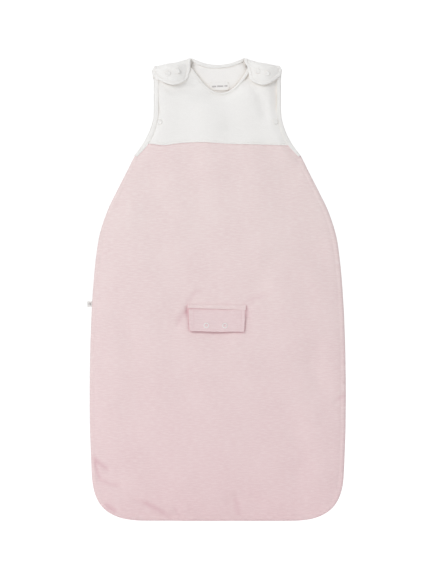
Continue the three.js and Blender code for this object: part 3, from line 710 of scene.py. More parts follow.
def jersey(name, light, dark, fleck, crevice_shade, wale=0.0009, course=0.0012, flecks=0.7, uneven=0.7,
           hem_tint=None):
    """Knitted cotton: V stitches, short lengthwise flecks of slightly different yarn, and a soft unevenness.
    The fifth argument tints the painted shade that ambient occlusion lays into narrow gaps, hem_tint gives
    the two tints at the top and the hem."""
    finish = Finish(name, 0.86, Sheen_Weight=0.12, Sheen_Roughness=0.45, Specular_IOR_Level=0.2)
    place = finish.node("UVMap", uv_map="pattern")
    loops = knit_loops(finish, place, wale, course)
    streaks = finish.noise(place, 420, 4, (0.2, 1, 1))
    fine = finish.noise(place, 900, 2, (0.35, 1, 1))
    cloud = finish.noise(place, 14, 4)
    slubs = finish.noise(place, 170, 2, (0.16, 1.6, 1))
    tone = finish.mix(finish.spread(cloud, 0.32, 0.68, 0, uneven), light, dark)
    tone = finish.mix(finish.spread(streaks, 0.42, 0.66, 0, flecks), tone, fleck)
    tone = finish.mix(finish.spread(slubs, 0.6, 0.78, 0, flecks * 0.5), tone, light)
    gaps = finish.spread(loops, 0.0, 0.75, 0.93, 1.0)
    gaps = finish.times(gaps, finish.spread(fine, 0.3, 0.7, 0.985, 1.015))
    shade = finish.node("CombineColor", inputs={0: gaps, 1: gaps, 2: gaps})
    tone = finish.mix(1.0, tone, shade, "MULTIPLY")
    if hem_tint:
        down = finish.spread(finish.node("SeparateXYZ", 1, {"Vector": place}), 0, 0.6, 1, 0)
        tone = finish.mix(1.0, tone, finish.mix(down, *hem_tint), "MULTIPLY")
    # Painted shade: ambient occlusion darkens and tints the colour in narrow gaps, by the flap and under the
    # tabs.
    open_air = finish.node("AmbientOcclusion", 1, {"Distance": 0.014}, samples=8)
    tone = finish.mix(finish.spread(open_air, 0.3, 0.92, 0.95, 0), tone, crevice_shade, "MULTIPLY")
    # Painted shade in the narrow folds and along the hem edge, read from a point attribute.
    pressed = finish.node("Attribute", 2, attribute_name="painted_fold_shade")
    tone = finish.mix(pressed, tone, FOLD_SHADE_TINT, "MULTIPLY")
    finish.paint(tone)
    finish.link(finish.spread(streaks, 0.3, 0.7, 0.82, 0.92), finish.shader.inputs["Roughness"])
    height = finish.plus(finish.times(loops, 0.6), finish.times(fine, 0.5))
    height = finish.plus(height, finish.times(slubs, 0.5))
    finish.bump(height, 0.00022, 0.7)
    return finish.material


def woven(name, light, dark, thread_width=0.0005, sheen=0.1, roughness=0.7):
    """Plain woven tape or satin label: warp and weft crossing over each other."""
    finish = Finish(name, roughness, Sheen_Weight=sheen, Specular_IOR_Level=0.35)
    place = finish.node("UVMap", uv_map="pattern")
    split = finish.node("SeparateXYZ", inputs={"Vector": place}).node.outputs
    warp = finish.math("SINE", finish.times(split[0], math.pi / thread_width))
    weft = finish.math("SINE", finish.times(split[1], math.pi / thread_width))
    cross = finish.times(warp, weft)
    worn = finish.noise(place, 60, 3)
    crossing = finish.spread(cross, -1, 1, 0.1, 0.5)
    share = finish.plus(crossing, finish.spread(worn, 0.3, 0.7, -0.1, 0.4))
    finish.paint(finish.mix(share, light, dark))
    finish.bump(cross, 0.00015, 0.6)
    return finish.material


def moulded(name, light, dark, roughness=0.4, coat=0.15):
    """Satin plastic with a faint mottle, fine scratches and slightly duller worn spots."""
    finish = Finish(name, roughness, Coat_Weight=coat, Coat_Roughness=0.3, Subsurface_Weight=0.08,
                    Subsurface_Radius=(0.6, 0.5, 0.45), Subsurface_Scale=0.001)
    place = finish.node("TexCoord", 3)
    mottle = finish.noise(place, 300, 3)
    scratch = finish.noise(place, 700, 2, (1, 1, 0.1))
    finish.paint(finish.mix(finish.spread(mottle, 0.35, 0.7, 0, 0.6), light, dark))
    worn = finish.spread(scratch, 0.3, 0.75, roughness - 0.08, roughness + 0.18)
    finish.link(worn, finish.shader.inputs["Roughness"])
    finish.bump(scratch, 0.00004, 0.4)
    return finish.material


def fibre(name, light, dark):
    """Loose filling: tangled fibres."""
    finish = Finish(name, 0.95, Sheen_Weight=0.3)
    place = finish.node("UVMap", uv_map="pattern")
    tangle = finish.noise(place, 190, 6, (1, 0.4, 1))
    finish.paint(finish.mix(finish.spread(tangle, 0.35, 0.65, 0, 1), light, dark))
    finish.bump(tangle, 0.0012, 0.8)
    return finish.material


# Tints of the painted shade that ambient occlusion lays into narrow gaps.
PINK_CREVICE_SHADE = colour(0.96, 0.64, 0.72)
WHITE_CREVICE_SHADE = colour(1.02, 0.97, 0.92)
HEM_TINT = (colour(1, 1.045, 1.02), colour(1, 0.966, 0.974))
PINK = jersey("pink_jersey", colour(0.805, 0.645, 0.655), colour(0.775, 0.602, 0.618),
              colour(0.845, 0.705, 0.712), PINK_CREVICE_SHADE, hem_tint=HEM_TINT)
# A darker copy of the pink jersey for the harness flap: painted shade.
SHADED_FLAP_PINK = jersey("flap_jersey_shaded", colour(0.787, 0.623, 0.635), colour(0.757, 0.583, 0.600),
                   colour(0.828, 0.683, 0.692), PINK_CREVICE_SHADE)
WHITE = jersey("white_jersey", colour(0.855, 0.846, 0.832), colour(0.835, 0.824, 0.808),
               colour(0.88, 0.874, 0.862), WHITE_CREVICE_SHADE, flecks=0.3)
TRIM = jersey("white_binding", colour(0.845, 0.836, 0.820), colour(0.825, 0.814, 0.797),
              colour(0.87, 0.864, 0.852), WHITE_CREVICE_SHADE, wale=0.0008, course=0.0009, flecks=0.2, uneven=0.2)
LINING = jersey("lining_jersey", colour(0.89, 0.875, 0.86), colour(0.87, 0.855, 0.84),
                colour(0.90, 0.89, 0.88), WHITE_CREVICE_SHADE, wale=0.0007, course=0.0009, flecks=0.2)
TAPE = woven("zip_tape_weave", colour(0.74, 0.585, 0.60), colour(0.68, 0.52, 0.54))
SATIN = woven("label_satin", colour(0.86, 0.85, 0.83), colour(0.80, 0.79, 0.77), thread_width=0.0003,
              sheen=0.3, roughness=0.5)
PRINT = woven("label_print", colour(0.50, 0.48, 0.48), colour(0.58, 0.56, 0.56), thread_width=0.0003)
THREAD_WHITE = woven("white_thread", colour(0.86, 0.855, 0.84), colour(0.80, 0.79, 0.775), sheen=0.3)
THREAD_PINK = woven("pink_thread", colour(0.80, 0.63, 0.645), colour(0.76, 0.58, 0.60), sheen=0.3)
SNAP = moulded("snap_plastic", colour(0.80, 0.79, 0.775), colour(0.775, 0.765, 0.75), 0.5, 0.08)
COIL = moulded("zip_coil_nylon", colour(0.78, 0.64, 0.66), colour(0.72, 0.58, 0.60), 0.35)
SLIDER = moulded("zip_slider_coat", colour(0.84, 0.77, 0.78), colour(0.78, 0.70, 0.71), 0.35, 0.3)
FILLING = fibre("wadding_fibre", colour(0.86, 0.855, 0.83), colour(0.76, 0.75, 0.72))


# ------------------------------------------------------------------ panels
EDGE = spaced(OUTLINE, 5)
EDGE_OUT = right_of(EDGE)
BOUND_INSET = 2            # how far inside a binding a panel ends


def inset_at(h):
    """How far the panel starts to round over from the edge; under the armhole bindings it just ends."""
    return lerp(ROLL, BOUND_INSET, smooth(h, 690, 722))


def rectangle_loop(left, right, low, high, corner, step=3):
    """A rounded rectangle, counter-clockwise."""
    corners = [(right - corner, low + corner, -90), (right - corner, high - corner, 0),
               (left + corner, high - corner, 90), (left + corner, low + corner, 180)]
    arcs = [[(x + corner * math.cos(math.radians(a)), y + corner * math.sin(math.radians(a)))
             for a in np.linspace(start, start + 90, 7)] for x, y, start in corners]
    loop = spaced(np.array([p for arc in arcs for p in arc] + [arcs[0][0]]), step)
    return loop[:-1]


def panel_loops(side, inset=0.0, slot_gap=0.0):
    """The outline of a panel and the slot in it, drawn in by a further inset."""
    edge = EDGE - EDGE_OUT * (inset_at(EDGE[:, 1]) + inset)[:, None]
    neck = spaced(FRONT_NECK if side == FRONT else BACK_NECK, 4)
    neck = (neck + right_of(neck) * (BOUND_INSET + inset))[::-1]
    start = edge[-1]
    strap_x = np.linspace(start[0], neck[0][0], 14)[1:-1]
    right_strap = np.stack([strap_x, strap_top(strap_x) - inset], axis=1)
    if side == BACK:
        right_strap = right_strap[right_strap[:, 0] > NECK_HALF + 4]
    loop = np.vstack([edge, right_strap, neck, mirrored(right_strap)])
    left, right, low, high = SLOT
    hole = rectangle_loop(left - slot_gap, right + slot_gap, low - slot_gap, high + slot_gap, 3)
    return [loop, hole]


def finer(points, faces):
    """Every triangle cut into four."""
    middle, made = {}, []
    points = points.tolist()
    for a, b, c in faces.tolist():
        halves = []
        for p, q in ((a, b), (b, c), (c, a)):
            key = (min(p, q), max(p, q))
            if key not in middle:
                middle[key] = len(points)
                points.append([(points[p][0] + points[q][0]) / 2, (points[p][1] + points[q][1]) / 2])
            halves.append(middle[key])
        ab, bc, ca = halves
        made += [(a, ab, ca), (ab, b, bc), (ca, bc, c), (ab, bc, ca)]
    return np.array(points), np.array(made)


SETTLE_FRAMES = 22
MOST_MOVED = 3.5           # the simulated cloth counts for at most this far


def simulate(side):
    """Lets a panel settle as cloth over its filling, held along its seams, and keeps how far it moved."""
    flat, faces = triangulate(panel_loops(side), 11)
    rest = lift(flat, side, 1)
    cloth = make("settling_cloth", rest, face_out(rest, faces, (0, side, 0)), PINK)
    borders = [come_round(loop) for loop in panel_loops(side)]
    near = np.minimum(distance(flat, borders[0]), distance(flat, borders[1]) + 4)
    near = np.minimum(near, np.abs(flat[:, 1] - yoke_seam(flat[:, 0])) + 9)
    held = cloth.vertex_groups.new(name="held")
    for k, reach in enumerate(near):
        held.add([k], float(1 - smooth(reach, 7, 26)), "REPLACE")
    modifier = cloth.modifiers.new("settle", "CLOTH")
    settings = modifier.settings
    settings.quality = 6
    settings.mass = 0.25
    settings.tension_stiffness = settings.compression_stiffness = 12
    settings.shear_stiffness = 6
    settings.bending_stiffness = 0.35
    settings.air_damping = 4
    settings.shrink_min = -0.014
    settings.use_pressure = True
    settings.uniform_pressure_force = 0.5
    settings.vertex_group_mass = "held"
    settings.effector_weights.gravity = 0
    modifier.collision_settings.use_collision = False
    scene = bpy.context.scene
    modifier.point_cache.frame_end = SETTLE_FRAMES
    for number in range(1, SETTLE_FRAMES + 1):
        scene.frame_set(number)
    settled = cloth.evaluated_get(bpy.context.evaluated_depsgraph_get()).data
    moved = np.array([v.co for v in settled.vertices]) / MM - rest - [0, 0, HEM / MM]
    bpy.data.objects.remove(cloth)
    scene.frame_set(1)
    links = np.vstack([faces[:, [0, 1]], faces[:, [1, 2]], faces[:, [2, 0]]])
    for _ in range(3):
        total = moved.copy()
        count = np.ones(len(moved))
        for a, b in (links.T, links.T[::-1]):
            np.add.at(total, a, moved[b])
            np.add.at(count, a, 1)
        moved = total / count[:, None]
    reach = np.linalg.norm(moved, axis=1)[:, None]
    moved *= MOST_MOVED * np.tanh(reach / MOST_MOVED) / np.maximum(reach, 1e-6)
    DRAPE[side] = (tree_of(flat), moved)


def rolled(flat, faces, side):
    """Adds to a panel the border that rounds over the edge and turns in under it."""
    points = [lift(flat, side, 1)]
    pattern = [flat]
    pairs = border_of(faces)
    tree = tree_of(EDGE - EDGE_OUT * inset_at(EDGE[:, 1])[:, None])
    nearest = {k: tree.find((*flat[k], 0)) for pair in pairs for k in pair}
    on_edge = sorted(k for k, (_, _, reach) in nearest.items() if reach < 2.8)
    place = {k: i for i, k in enumerate(on_edge)}
    base = flat[on_edge]
    out = EDGE_OUT[[nearest[k][1] for k in on_edge]]
    width = inset_at(base[:, 1])
    brim = base + out * width[:, None]
    thick = thickness(base, side) + relief(base, side)
    shift = draped(base, side)
    rows = [(angle, 0.0) for angle in np.radians(np.arange(22.5, 181, 22.5))]
    rows += [(math.pi, turned_in) for turned_in in (3.0, 7.0)]
    first_row = len(flat)
    for angle, turned_in in rows:
        at = base + out * (width * math.sin(angle) - turned_in)[:, None]
        inner = cavity(*at.T, side) if angle <= math.pi / 2 else cavity(*brim.T, side)
        depth = inner + thick * (0.53 + 0.47 * math.cos(angle))
        points.append(at_depth(at, side * depth) + shift)
        pattern.append(base + out * (width * angle / 2 + turned_in)[:, None])
    made = [tuple(f) for f in faces]
    count = len(on_edge)
    for a, b in pairs:
        if a not in place or b not in place:
            continue
        before = (a, b)
        for r in range(len(rows)):
            after = (first_row + r * count + place[a], first_row + r * count + place[b])
            made.append((before[1], before[0], after[0], after[1]))
            before = after
    return np.vstack(points), made, np.vstack(pattern)


def kept(points, faces, pattern, keep):
    """The part of a mesh whose faces are marked, without the points that no face uses."""
    faces = [f for f, stays in zip(faces, keep) if stays]
    used = sorted({k for f in faces for k in f})
    number = {k: i for i, k in enumerate(used)}
    return points[used], [tuple(number[k] for k in f) for f in faces], pattern[used]


FOLD = next(j for j in frame["joints"] if j["name"] == "front_corner_fold")
FOLD_ACROSS = Vector(FOLD["axis"]).cross((0, 1, 0)).normalized()
if FOLD_ACROSS.x < 0:
    FOLD_ACROSS.negate()


def folds(piece):
    """Bakes the placement of a piece on the front corner into its points; nothing here bends it past the fold
    line.
    """
    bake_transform(piece)
    return piece


def on_body(piece, body, slot, *nodes):
    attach(piece, body)
    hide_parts(*nodes)
    return piece


def seam_lines():
    x = np.arange(-150, 151, 4.0)
    return [np.stack([x, yoke_seam(x) + s], axis=1) for s in (-8, -5, -3, -1.5, 0, 1.3, 2.6, 3.8, 4.8, 6, 9)]


def jersey_panels(side, word):
    """The outside of the front or back, in two cloths sewn together: body and yoke."""
    folds_in = [spaced(line, 5) for line, _, _ in FRONT_CREASES] if side == FRONT else []
    folds_in = [line[distance(line, OUTLINE) > 9] for line in folds_in]
    folds_in = [line for line in folds_in if len(line) > 1]
    flat, faces = triangulate(panel_loops(side), 8, rings=(3, 6.5), lines=seam_lines() + folds_in)
    flat, faces = finer(flat, faces)
    faces = face_out(lift(flat, side, 1), faces, (0, side, 0))
    points, faces, pattern = rolled(flat, faces, side)
    middle = np.array([pattern[list(f)].mean(axis=0) for f in faces])
    above = middle[:, 1] > yoke_seam(middle[:, 0])
    made = []
    for part, keep, material in (("body", ~above, PINK), ("yoke", above, WHITE)):
        cut = kept(points, faces, pattern, keep)
        piece = make(f"{word}_{part}_jersey", cut[0], cut[1], material, cut[2] * MM)
        # how much painted shade each point gets in its colour
        pressed = piece.data.attributes.new("painted_fold_shade", "FLOAT", "POINT")
        pressed.data.foreach_set("value", painted_fold_shade(cut[2], side).astype(np.float32))
        with_modifier(piece, "SOLIDIFY", thickness=JERSEY * MM, offset=-1)
        made.append(piece)
    return made


def lining_and_filling(side, word):
    loops = panel_loops(side, 2, 2)
    flat, faces = triangulate(loops, 11)
    flat, faces = finer(flat, faces)
    faces = face_out(lift(flat, side, 0), faces, (0, -side, 0))
    lining = make(f"{word}_lining_cloth", lift(flat, side, 0.02), faces, LINING, flat * MM)
    with_modifier(lining, "SOLIDIFY", thickness=0.8 * MM, offset=-1)
    flat, faces = triangulate(panel_loops(side, 5, 9), 12, rings=(1.5, 5))
    faces = face_out(lift(flat, side, 1), faces, (0, side, 0))
    outer, inner = lift(flat, side, 0.76), lift(flat, side, 0.22)
    filling = pad(f"{word}_wadding_pad", flat, faces, outer, inner, FILLING)
    return lining, filling


simulate(FRONT)
simulate(BACK)

front_body, front_yoke = jersey_panels(FRONT, "front")
front_lining, front_filling = lining_and_filling(FRONT, "front")
for piece, slot, nodes in ((front_body, "body_jersey", ("front_outer_main", "front_outer_corner")),
                           (front_lining, "lining", ("front_lining_main", "front_lining_corner")),
                           (front_filling, "wadding", ("front_wadding_main", "front_wadding_corner"))):
    folds(piece)
    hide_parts(*nodes)
on_body(front_yoke, "root", "yoke_jersey", "front_yoke")
back_body, back_yoke = jersey_panels(BACK, "back")
back_lining, back_filling = lining_and_filling(BACK, "back")
on_body(back_body, "root", "body_jersey", "back_outer_panel")
on_body(back_yoke, "root", "yoke_jersey", "back_yoke")
on_body(back_lining, "root", "lining", "back_lining")
on_body(back_filling, "root", "wadding", "back_wadding")


# ------------------------------------------------------------------ bindings
# Round a binding: how far in over the fabric, as a share of its width; how deep in the panel, from the lining
# at 0 to the jersey at 1; and how far it stands off there.
BINDING_SECTION = [
    (1.0, 1.0, 0.1), (0.97, 1.0, 0.65), (0.86, 1.0, 0.9), (0.74, 1.0, 0.75), (0.55, 1.0, 1.05),
    (0.3, 1.0, 0.95), (0.13, 0.95, 0.7), (0.03, 0.75, 0.5), (0.0, 0.5, 0.0), (0.03, 0.25, -0.4),
    (0.13, 0.06, -0.8), (0.35, 0.0, -1.0), (0.8, 0.0, -1.0), (1.0, 0.0, -0.6), (1.0, 0.5, 0.0),
]
BINDING_GROOVE = 0.74      # where its stitches run, as a share of the width


def binding(name, line, side, width, slot_nodes, turn=1, narrow_foot=1.0):
    """A folded strip of jersey over an edge of one panel. turn says on which side of the line the fabric
    lies, and narrow_foot how wide the first end is, as a share of the rest.
    Returns the line of its stitches and the way off the cloth along it."""
    line = spaced(line, 2.5)
    to_fabric = -right_of(line) * turn
    along = np.arange(len(line)) * 2.5
    width = width * (narrow_foot + (1 - narrow_foot) * smooth(along, 0, 32))
    wander = 0.35 * np.sin(along / 23) + 0.2 * np.sin(along / 7.3 + 1)
    pucker = 0.10 * np.sin(along * 2 * math.pi / 6.1) + 0.08 * np.sin(along * 2 * math.pi / 9.7)
    rows = []
    for inward, share, proud in BINDING_SECTION:
        reach = inward * (width + wander)
        at = line + to_fabric * reach[:, None]
        fabric = line + to_fabric * np.maximum(reach, BOUND_INSET)[:, None]
        inner = cavity(*fabric.T, side)
        thick = thickness(fabric, side)
        raised = proud + (pucker if proud > 0.2 and inward < 0.8 else 0 * pucker)
        depth = inner + lerp(-0.06, 1.0, share) * thick + raised
        rows.append(at_depth(at, side * np.maximum(depth, 0.15)) + draped(fabric, side))
    piece = tube(name, np.stack(rows, axis=1), TRIM)
    seam = line + to_fabric * (BINDING_GROOVE * (width + wander))[:, None]
    sewn = lift(seam, side, 1) + normals(seam, side) * 0.85
    on_body(piece, "root", "binding", *slot_nodes)
    return sewn, normals(seam, side)


def thread(name, rows, material, body):
    """Rows of stitches as one piece; each row is a line in space and the way off the cloth along it."""
    made = [stitch for line, away in rows for stitch in stitches(line, away)]
    piece = joined(name, made, material)
    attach(piece, body)
    return piece


FRONT_NECK_WIDTH = 6.0
BACK_NECK_WIDTH = 7.2
ARM_WIDTH = 8.4
front_neck_seam = binding("front_neck_trim", FRONT_NECK, FRONT, FRONT_NECK_WIDTH, ["front_neck_binding"],
                          turn=-1)
back_neck_seam = binding("back_neck_trim", BACK_NECK, BACK, BACK_NECK_WIDTH, ["back_neck_binding"], turn=-1)
arm_seams = []
for word, side in (("front", FRONT), ("back", BACK)):
    for label, sign in (("left", -1), ("right", 1)):
        line = ARMHOLE * [sign, 1]
        line = line + [1.8 * sign, 0] if word == "back" and sign < 0 else line
        arm_seams.append(binding(f"{word}_armhole_trim_{label}", line, side, ARM_WIDTH,
                                 [f"{word}_armhole_binding_{label}"], turn=sign, narrow_foot=0.6))
thread("binding_stitches", [front_neck_seam, back_neck_seam, *arm_seams], THREAD_WHITE, "root")

yoke_rows = []
for side in (FRONT, BACK):
    x = np.arange(-134, 134.5, 2.0)
    row = np.stack([x, yoke_seam(x) + 4.6], axis=1)
    row = row[np.abs(x) < half_width(row[:, 1]) - ARM_WIDTH]
    yoke_rows.append((lift(row, side, 1), normals(row, side)))
thread("yoke_topstitch", yoke_rows, THREAD_WHITE, "root")


# ------------------------------------------------------------------ shoulder straps with their tabs
def tab_outline():
    """The strap flat: x outward and q up from the hinge line, over the fold and down the back."""
    reach = fold_length()
    t = np.linspace(0, math.pi / 2, 22)
    power = 2 / 1.45       # a little less full than an ellipse
    low = TAB["bottom"] - hinge_height(TAB["bottom_x"])
    inner_q = TAB["shoulder"] - 4 - hinge_height(TAB["inner"])
    outer_q = TAB["shoulder"] + 1 - hinge_height(TAB["outer"])
    inner = [(TAB["bottom_x"] - (TAB["bottom_x"] - TAB["inner"]) * math.cos(a) ** 0.95,
              inner_q + (low - inner_q) * math.sin(a) ** 0.9) for a in t]
    outer = [(TAB["bottom_x"] + (TAB["outer"] - TAB["bottom_x"]) * math.sin(a) ** power,
              outer_q + (low - outer_q) * math.cos(a) ** power) for a in t[1:]]
    top = reach + 14
    over = np.linspace(0, 1, 14)
    outer_side = [(TAB["outer"] + 1.2 * math.sin(math.pi * min(1, s * 4)) - 2.5 * math.sin(math.pi * s) ** 2,
                   lerp(0, reach, s)) for s in over]
    line = np.array(inner + outer + outer_side + [(TAB["outer"] - 1, top - 3), (TAB["outer"] - 4, top),
                                                  (TAB["inner"] + 3, top), (TAB["inner"], top - 3),
                                                  (TAB["inner"], inner_q)])
    return spaced(line, 2.2)[:-1]


STRAP_HALF = 1.35          # half thickness of the strap
STRAP_SEAM = 6.2           # how far in from its edge it is stitched


def strap_depths(x):
    h = hinge_height(x)
    at = np.stack([x, h], axis=1)
    front = cavity(x, h, FRONT) + thickness(at, FRONT) + 0.5 + STRAP_HALF
    back = cavity(x, h, BACK) + thickness(at, BACK) + 0.8 + STRAP_HALF
    return front, back


def fold_length():
    front, back = strap_depths(np.array([90.0]))
    reach = (front[0] + back[0]) / 2
    return math.pi * math.sqrt((reach**2 + (FOLD_RISE - STRAP_HALF) ** 2) / 2)


def strap_at(flat, off):
    """Points of the strap for its flat positions, off its middle surface."""
    x, q = flat.T
    front, back = strap_depths(x)
    reach = fold_length()
    h = hinge_height(x) + np.minimum(q, 0)
    on_front = np.stack([x, h], axis=1)
    lies = cavity(x, h, FRONT) + thickness(on_front, FRONT) + 0.5 + STRAP_HALF + 2.2 * smooth(-q, 8, 36)
    sag = draped(on_front, FRONT)[:, 1]
    angle = math.pi * np.clip(q / reach, 0, 1)
    middle, half = (back - front) / 2, (back + front) / 2
    over_y = middle - (half + off) * np.cos(angle)
    over_z = hinge_height(x) + (FOLD_RISE - STRAP_HALF + off) * np.sin(angle)
    past = np.maximum(q - reach, 0)
    droop = 0.0025 * np.maximum(x - 95, 0) ** 2 * (1 - smooth(-q, 0, 30))
    droop -= 3 * (1 - smooth(x, TAB["inner"], TAB["inner"] + 24)) * (1 - smooth(-q, 0, 14))
    y = np.where(q < 0, -(lies + off) + sag, np.where(q > reach, back + off, over_y))
    z = np.where(q < 0, h, np.where(q > reach, hinge_height(x) - past, over_z))
    return np.stack([x, y, z - droop], axis=1)


def strap(label, sign):
    """A strap with its tab, one padded piece down the front, over the shoulder and down the back."""
    outline = tab_outline()
    reached = smooth(outline[:, 0], TAB["inner"], TAB["outer"])
    hanging = smooth(-outline[:, 1], -2, 6)
    outline[:, 0] += 3 * reached**2 if label == "left" else 4.5 * (1 - reached) * hanging
    at_neck = 1 - smooth(outline[:, 0], TAB["inner"], TAB["inner"] + 12)
    outline[:, 0] -= 3.4 * at_neck * smooth(outline[:, 1], -17, -7)
    flat, faces = triangulate([outline], 3.4, rings=(0.35, 0.9, 1.7, 2.8, 4.0, 5.0, 5.7, 6.3, 7.2))
    border = distance(flat, come_round(outline))
    side_rim = smooth(border, 0, 1) * (1 - smooth(border, 4.6, 6.4))
    round_edge = np.sqrt(np.clip(1 - (1 - np.clip(border / 1.7, 0, 1)) ** 2, 0, 1))
    swell = np.zeros(len(flat))
    for x, h in TAB_SNAPS:
        away = np.hypot(flat[:, 0] - x, flat[:, 1] - (h - hinge_height(x)))
        swell += 0.35 * bump(away, 9) - 0.55 * bump(away - 6.0, 1.3)
    seam = 0.5 * bump(border - STRAP_SEAM, 0.8)
    wave = 0.12 * np.sin(flat[:, 0] / 4.1 + flat[:, 1] / 6) * smooth(border, 0, 3)
    top = strap_at(flat, (STRAP_HALF + 0.75 * side_rim + swell - seam + wave) * round_edge)
    bottom = strap_at(flat, -(STRAP_HALF - 0.3 * seam) * round_edge)
    along_rim = ring_line(outline, STRAP_SEAM)
    sewn = strap_at(along_rim, STRAP_HALF - 0.25)
    away = strap_at(along_rim, STRAP_HALF + 1) - strap_at(along_rim, STRAP_HALF)
    mirror = [sign, 1, 1]
    flat_here = flat * [sign, 1]
    faces = turning_left(flat_here, faces)
    piece = pad(f"shoulder_strap_{label}", flat_here, faces, top * mirror, bottom * mirror, WHITE)
    rows = stitches(sewn * mirror, away * mirror)
    stitched = joined(f"shoulder_strap_stitches_{label}", rows, THREAD_WHITE)
    for soft in (piece, stitched):
        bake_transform(soft)
    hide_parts(f"shoulder_fold_{label}", f"shoulder_tab_{label}")


def ring_line(outline, reach):
    """A line that runs inside a closed outline at one distance from it."""
    moved = outline - reach * outside_of(outline)
    return come_round(moved[distance(moved, come_round(outline)) > reach * 0.96])


# ------------------------------------------------------------------ snaps
# Turned profiles: pairs of radius and height over the cloth.
DOME = [(0, 0.95), (1.2, 0.96), (2.0, 1.04), (2.8, 1.22), (3.6, 1.28), (4.3, 1.12), (4.9, 0.62),
        (SNAP_RADIUS, 0), (SNAP_RADIUS - 0.1, -0.5), (4.2, -0.8), (0, -0.8)]
RING = [(3.3, 0.1), (3.4, 0.6), (3.7, 0.9), (4.3, 1.0), (4.9, 0.8), (5.3, 0.4), (5.4, 0), (5.2, -0.4),
        (3.4, -0.4)]
STUD = [(0, 1.9), (1.3, 1.85), (1.75, 1.5), (1.55, 1.0), (1.7, 0.6), (2.6, 0.5), (3.9, 0.42), (4.5, 0.1),
        (4.5, -0.3), (0, -0.3)]
SOCKET_BACK = [(2.0, -0.1), (2.1, -0.75), (2.7, -0.95), (3.8, -0.85), (4.6, -0.5), (4.7, 0), (4.4, 0.2),
               (2.2, 0.2)]


def snap(name, profile, at, normal, body, node):
    """A snap part turned from a profile, set on a point of the cloth."""
    piece = joined(name, [set_on(lathe(profile), at, normal)], SNAP)
    return on_body(piece, body, "snap_plastic", *([node] if node else []))


def strap_snaps(label, sign):
    for word, (x, h) in zip(("inner", "outer"), TAB_SNAPS):
        flat = np.array([[x, h - hinge_height(x)]])
        middle, top = (strap_at(flat, off)[0] * [sign, 1, 1] for off in (0, STRAP_HALF))
        normal = (top - middle) / np.linalg.norm(top - middle)
        snap(f"shoulder_snap_{label}_{word}", DOME, top + normal * 0.6, normal, f"tab_{label}",
             f"shoulder_snap_socket_{label}_{word}")
        snap(f"shoulder_snap_back_{label}_{word}", SOCKET_BACK, middle - normal * STRAP_HALF, normal,
             f"tab_{label}", None)
        spot = np.array([[sign * x, h]])
        snap(f"shoulder_stud_{label}_{word}", STUD, lift(spot, FRONT, 1)[0] - normal * 0.8,
             normals(spot, FRONT)[0], "root", f"shoulder_snap_stud_{label}_{word}")


for label, sign in (("left", -1), ("right", 1)):
    strap(label, sign)
    strap_snaps(label, sign)
    for word, side in (("front", FRONT), ("back", BACK)):
        spot = np.array([[sign * UNDERARM_SNAP[0], UNDERARM_SNAP[1]]])
        away = normals(spot, side)[0]
        snap(f"underarm_cap_{word}_{label}", DOME, lift(spot, side, 1)[0] + away * 0.5, away, "root",
             f"underarm_snap_{word}_{label}")


# ------------------------------------------------------------------ harness flap, its band and the slots
FLAP_HALF = 1.3            # half thickness of the flap
FLAP_FACE = -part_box("harness_flap")[0].y / MM


def flap_depth(flat, off):
    """The flap hangs over the bag: tucked in under its band, and standing off at its foot and right end."""
    x, h = flat.T
    hang = 0.5 * np.sin(x / 17 + 0.8) * smooth(FLAP["high"] - h, 8, 44) + 0.35 * np.sin(h / 9 + x / 30)
    lifted = 2.8 * smooth(FLAP["high"] - h, 4, 44) + 1.0 * smooth(x, 16, FLAP["right"])
    tucked = 1.3 * (1 - smooth(FLAP["high"] - h, 0, 5))
    return FLAP_FACE - FLAP_HALF - 1.4 - hang * 0.6 + lifted - tucked + off


def flat_piece(name, outline, material, half, lines=(), grooves=(), rim=0.35, depth=flap_depth,
               step=3.0):
    """A sewn flat piece of two layers with a full, rounded edge; grooves are stitched lines sunk into it."""
    flat, faces = triangulate([outline], step, rings=(0.3, 0.8, 1.5, 2.4, 3.4), lines=lines)
    flat, faces = finer(flat, faces)
    faces = turning_left(flat, faces)
    border = distance(flat, come_round(outline))
    round_edge = np.sqrt(np.clip(1 - (1 - np.clip(border / 1.5, 0, 1)) ** 2, 0, 1))
    full = half + rim * bump(border - 2.0, 1.6)
    for line, deep in grooves:
        off_line = distance(flat, line)
        full = full - deep * bump(off_line, 0.9) + 0.16 * bump(off_line - 1.8, 1.2)
    top = at_depth(flat, -depth(flat, full * round_edge))
    bottom = at_depth(flat, -depth(flat, -half * round_edge))
    return pad(name, flat, faces, top, bottom, material)


def front_seam(points, depth):
    """A seam on a flat piece: its line just under the face, and the way off the cloth, which is the front."""
    line = spaced(points, 2)
    return at_depth(line, -depth(line, FLAP_HALF - 0.15)), np.tile([0.0, -1.0, 0.0], (len(line), 1))


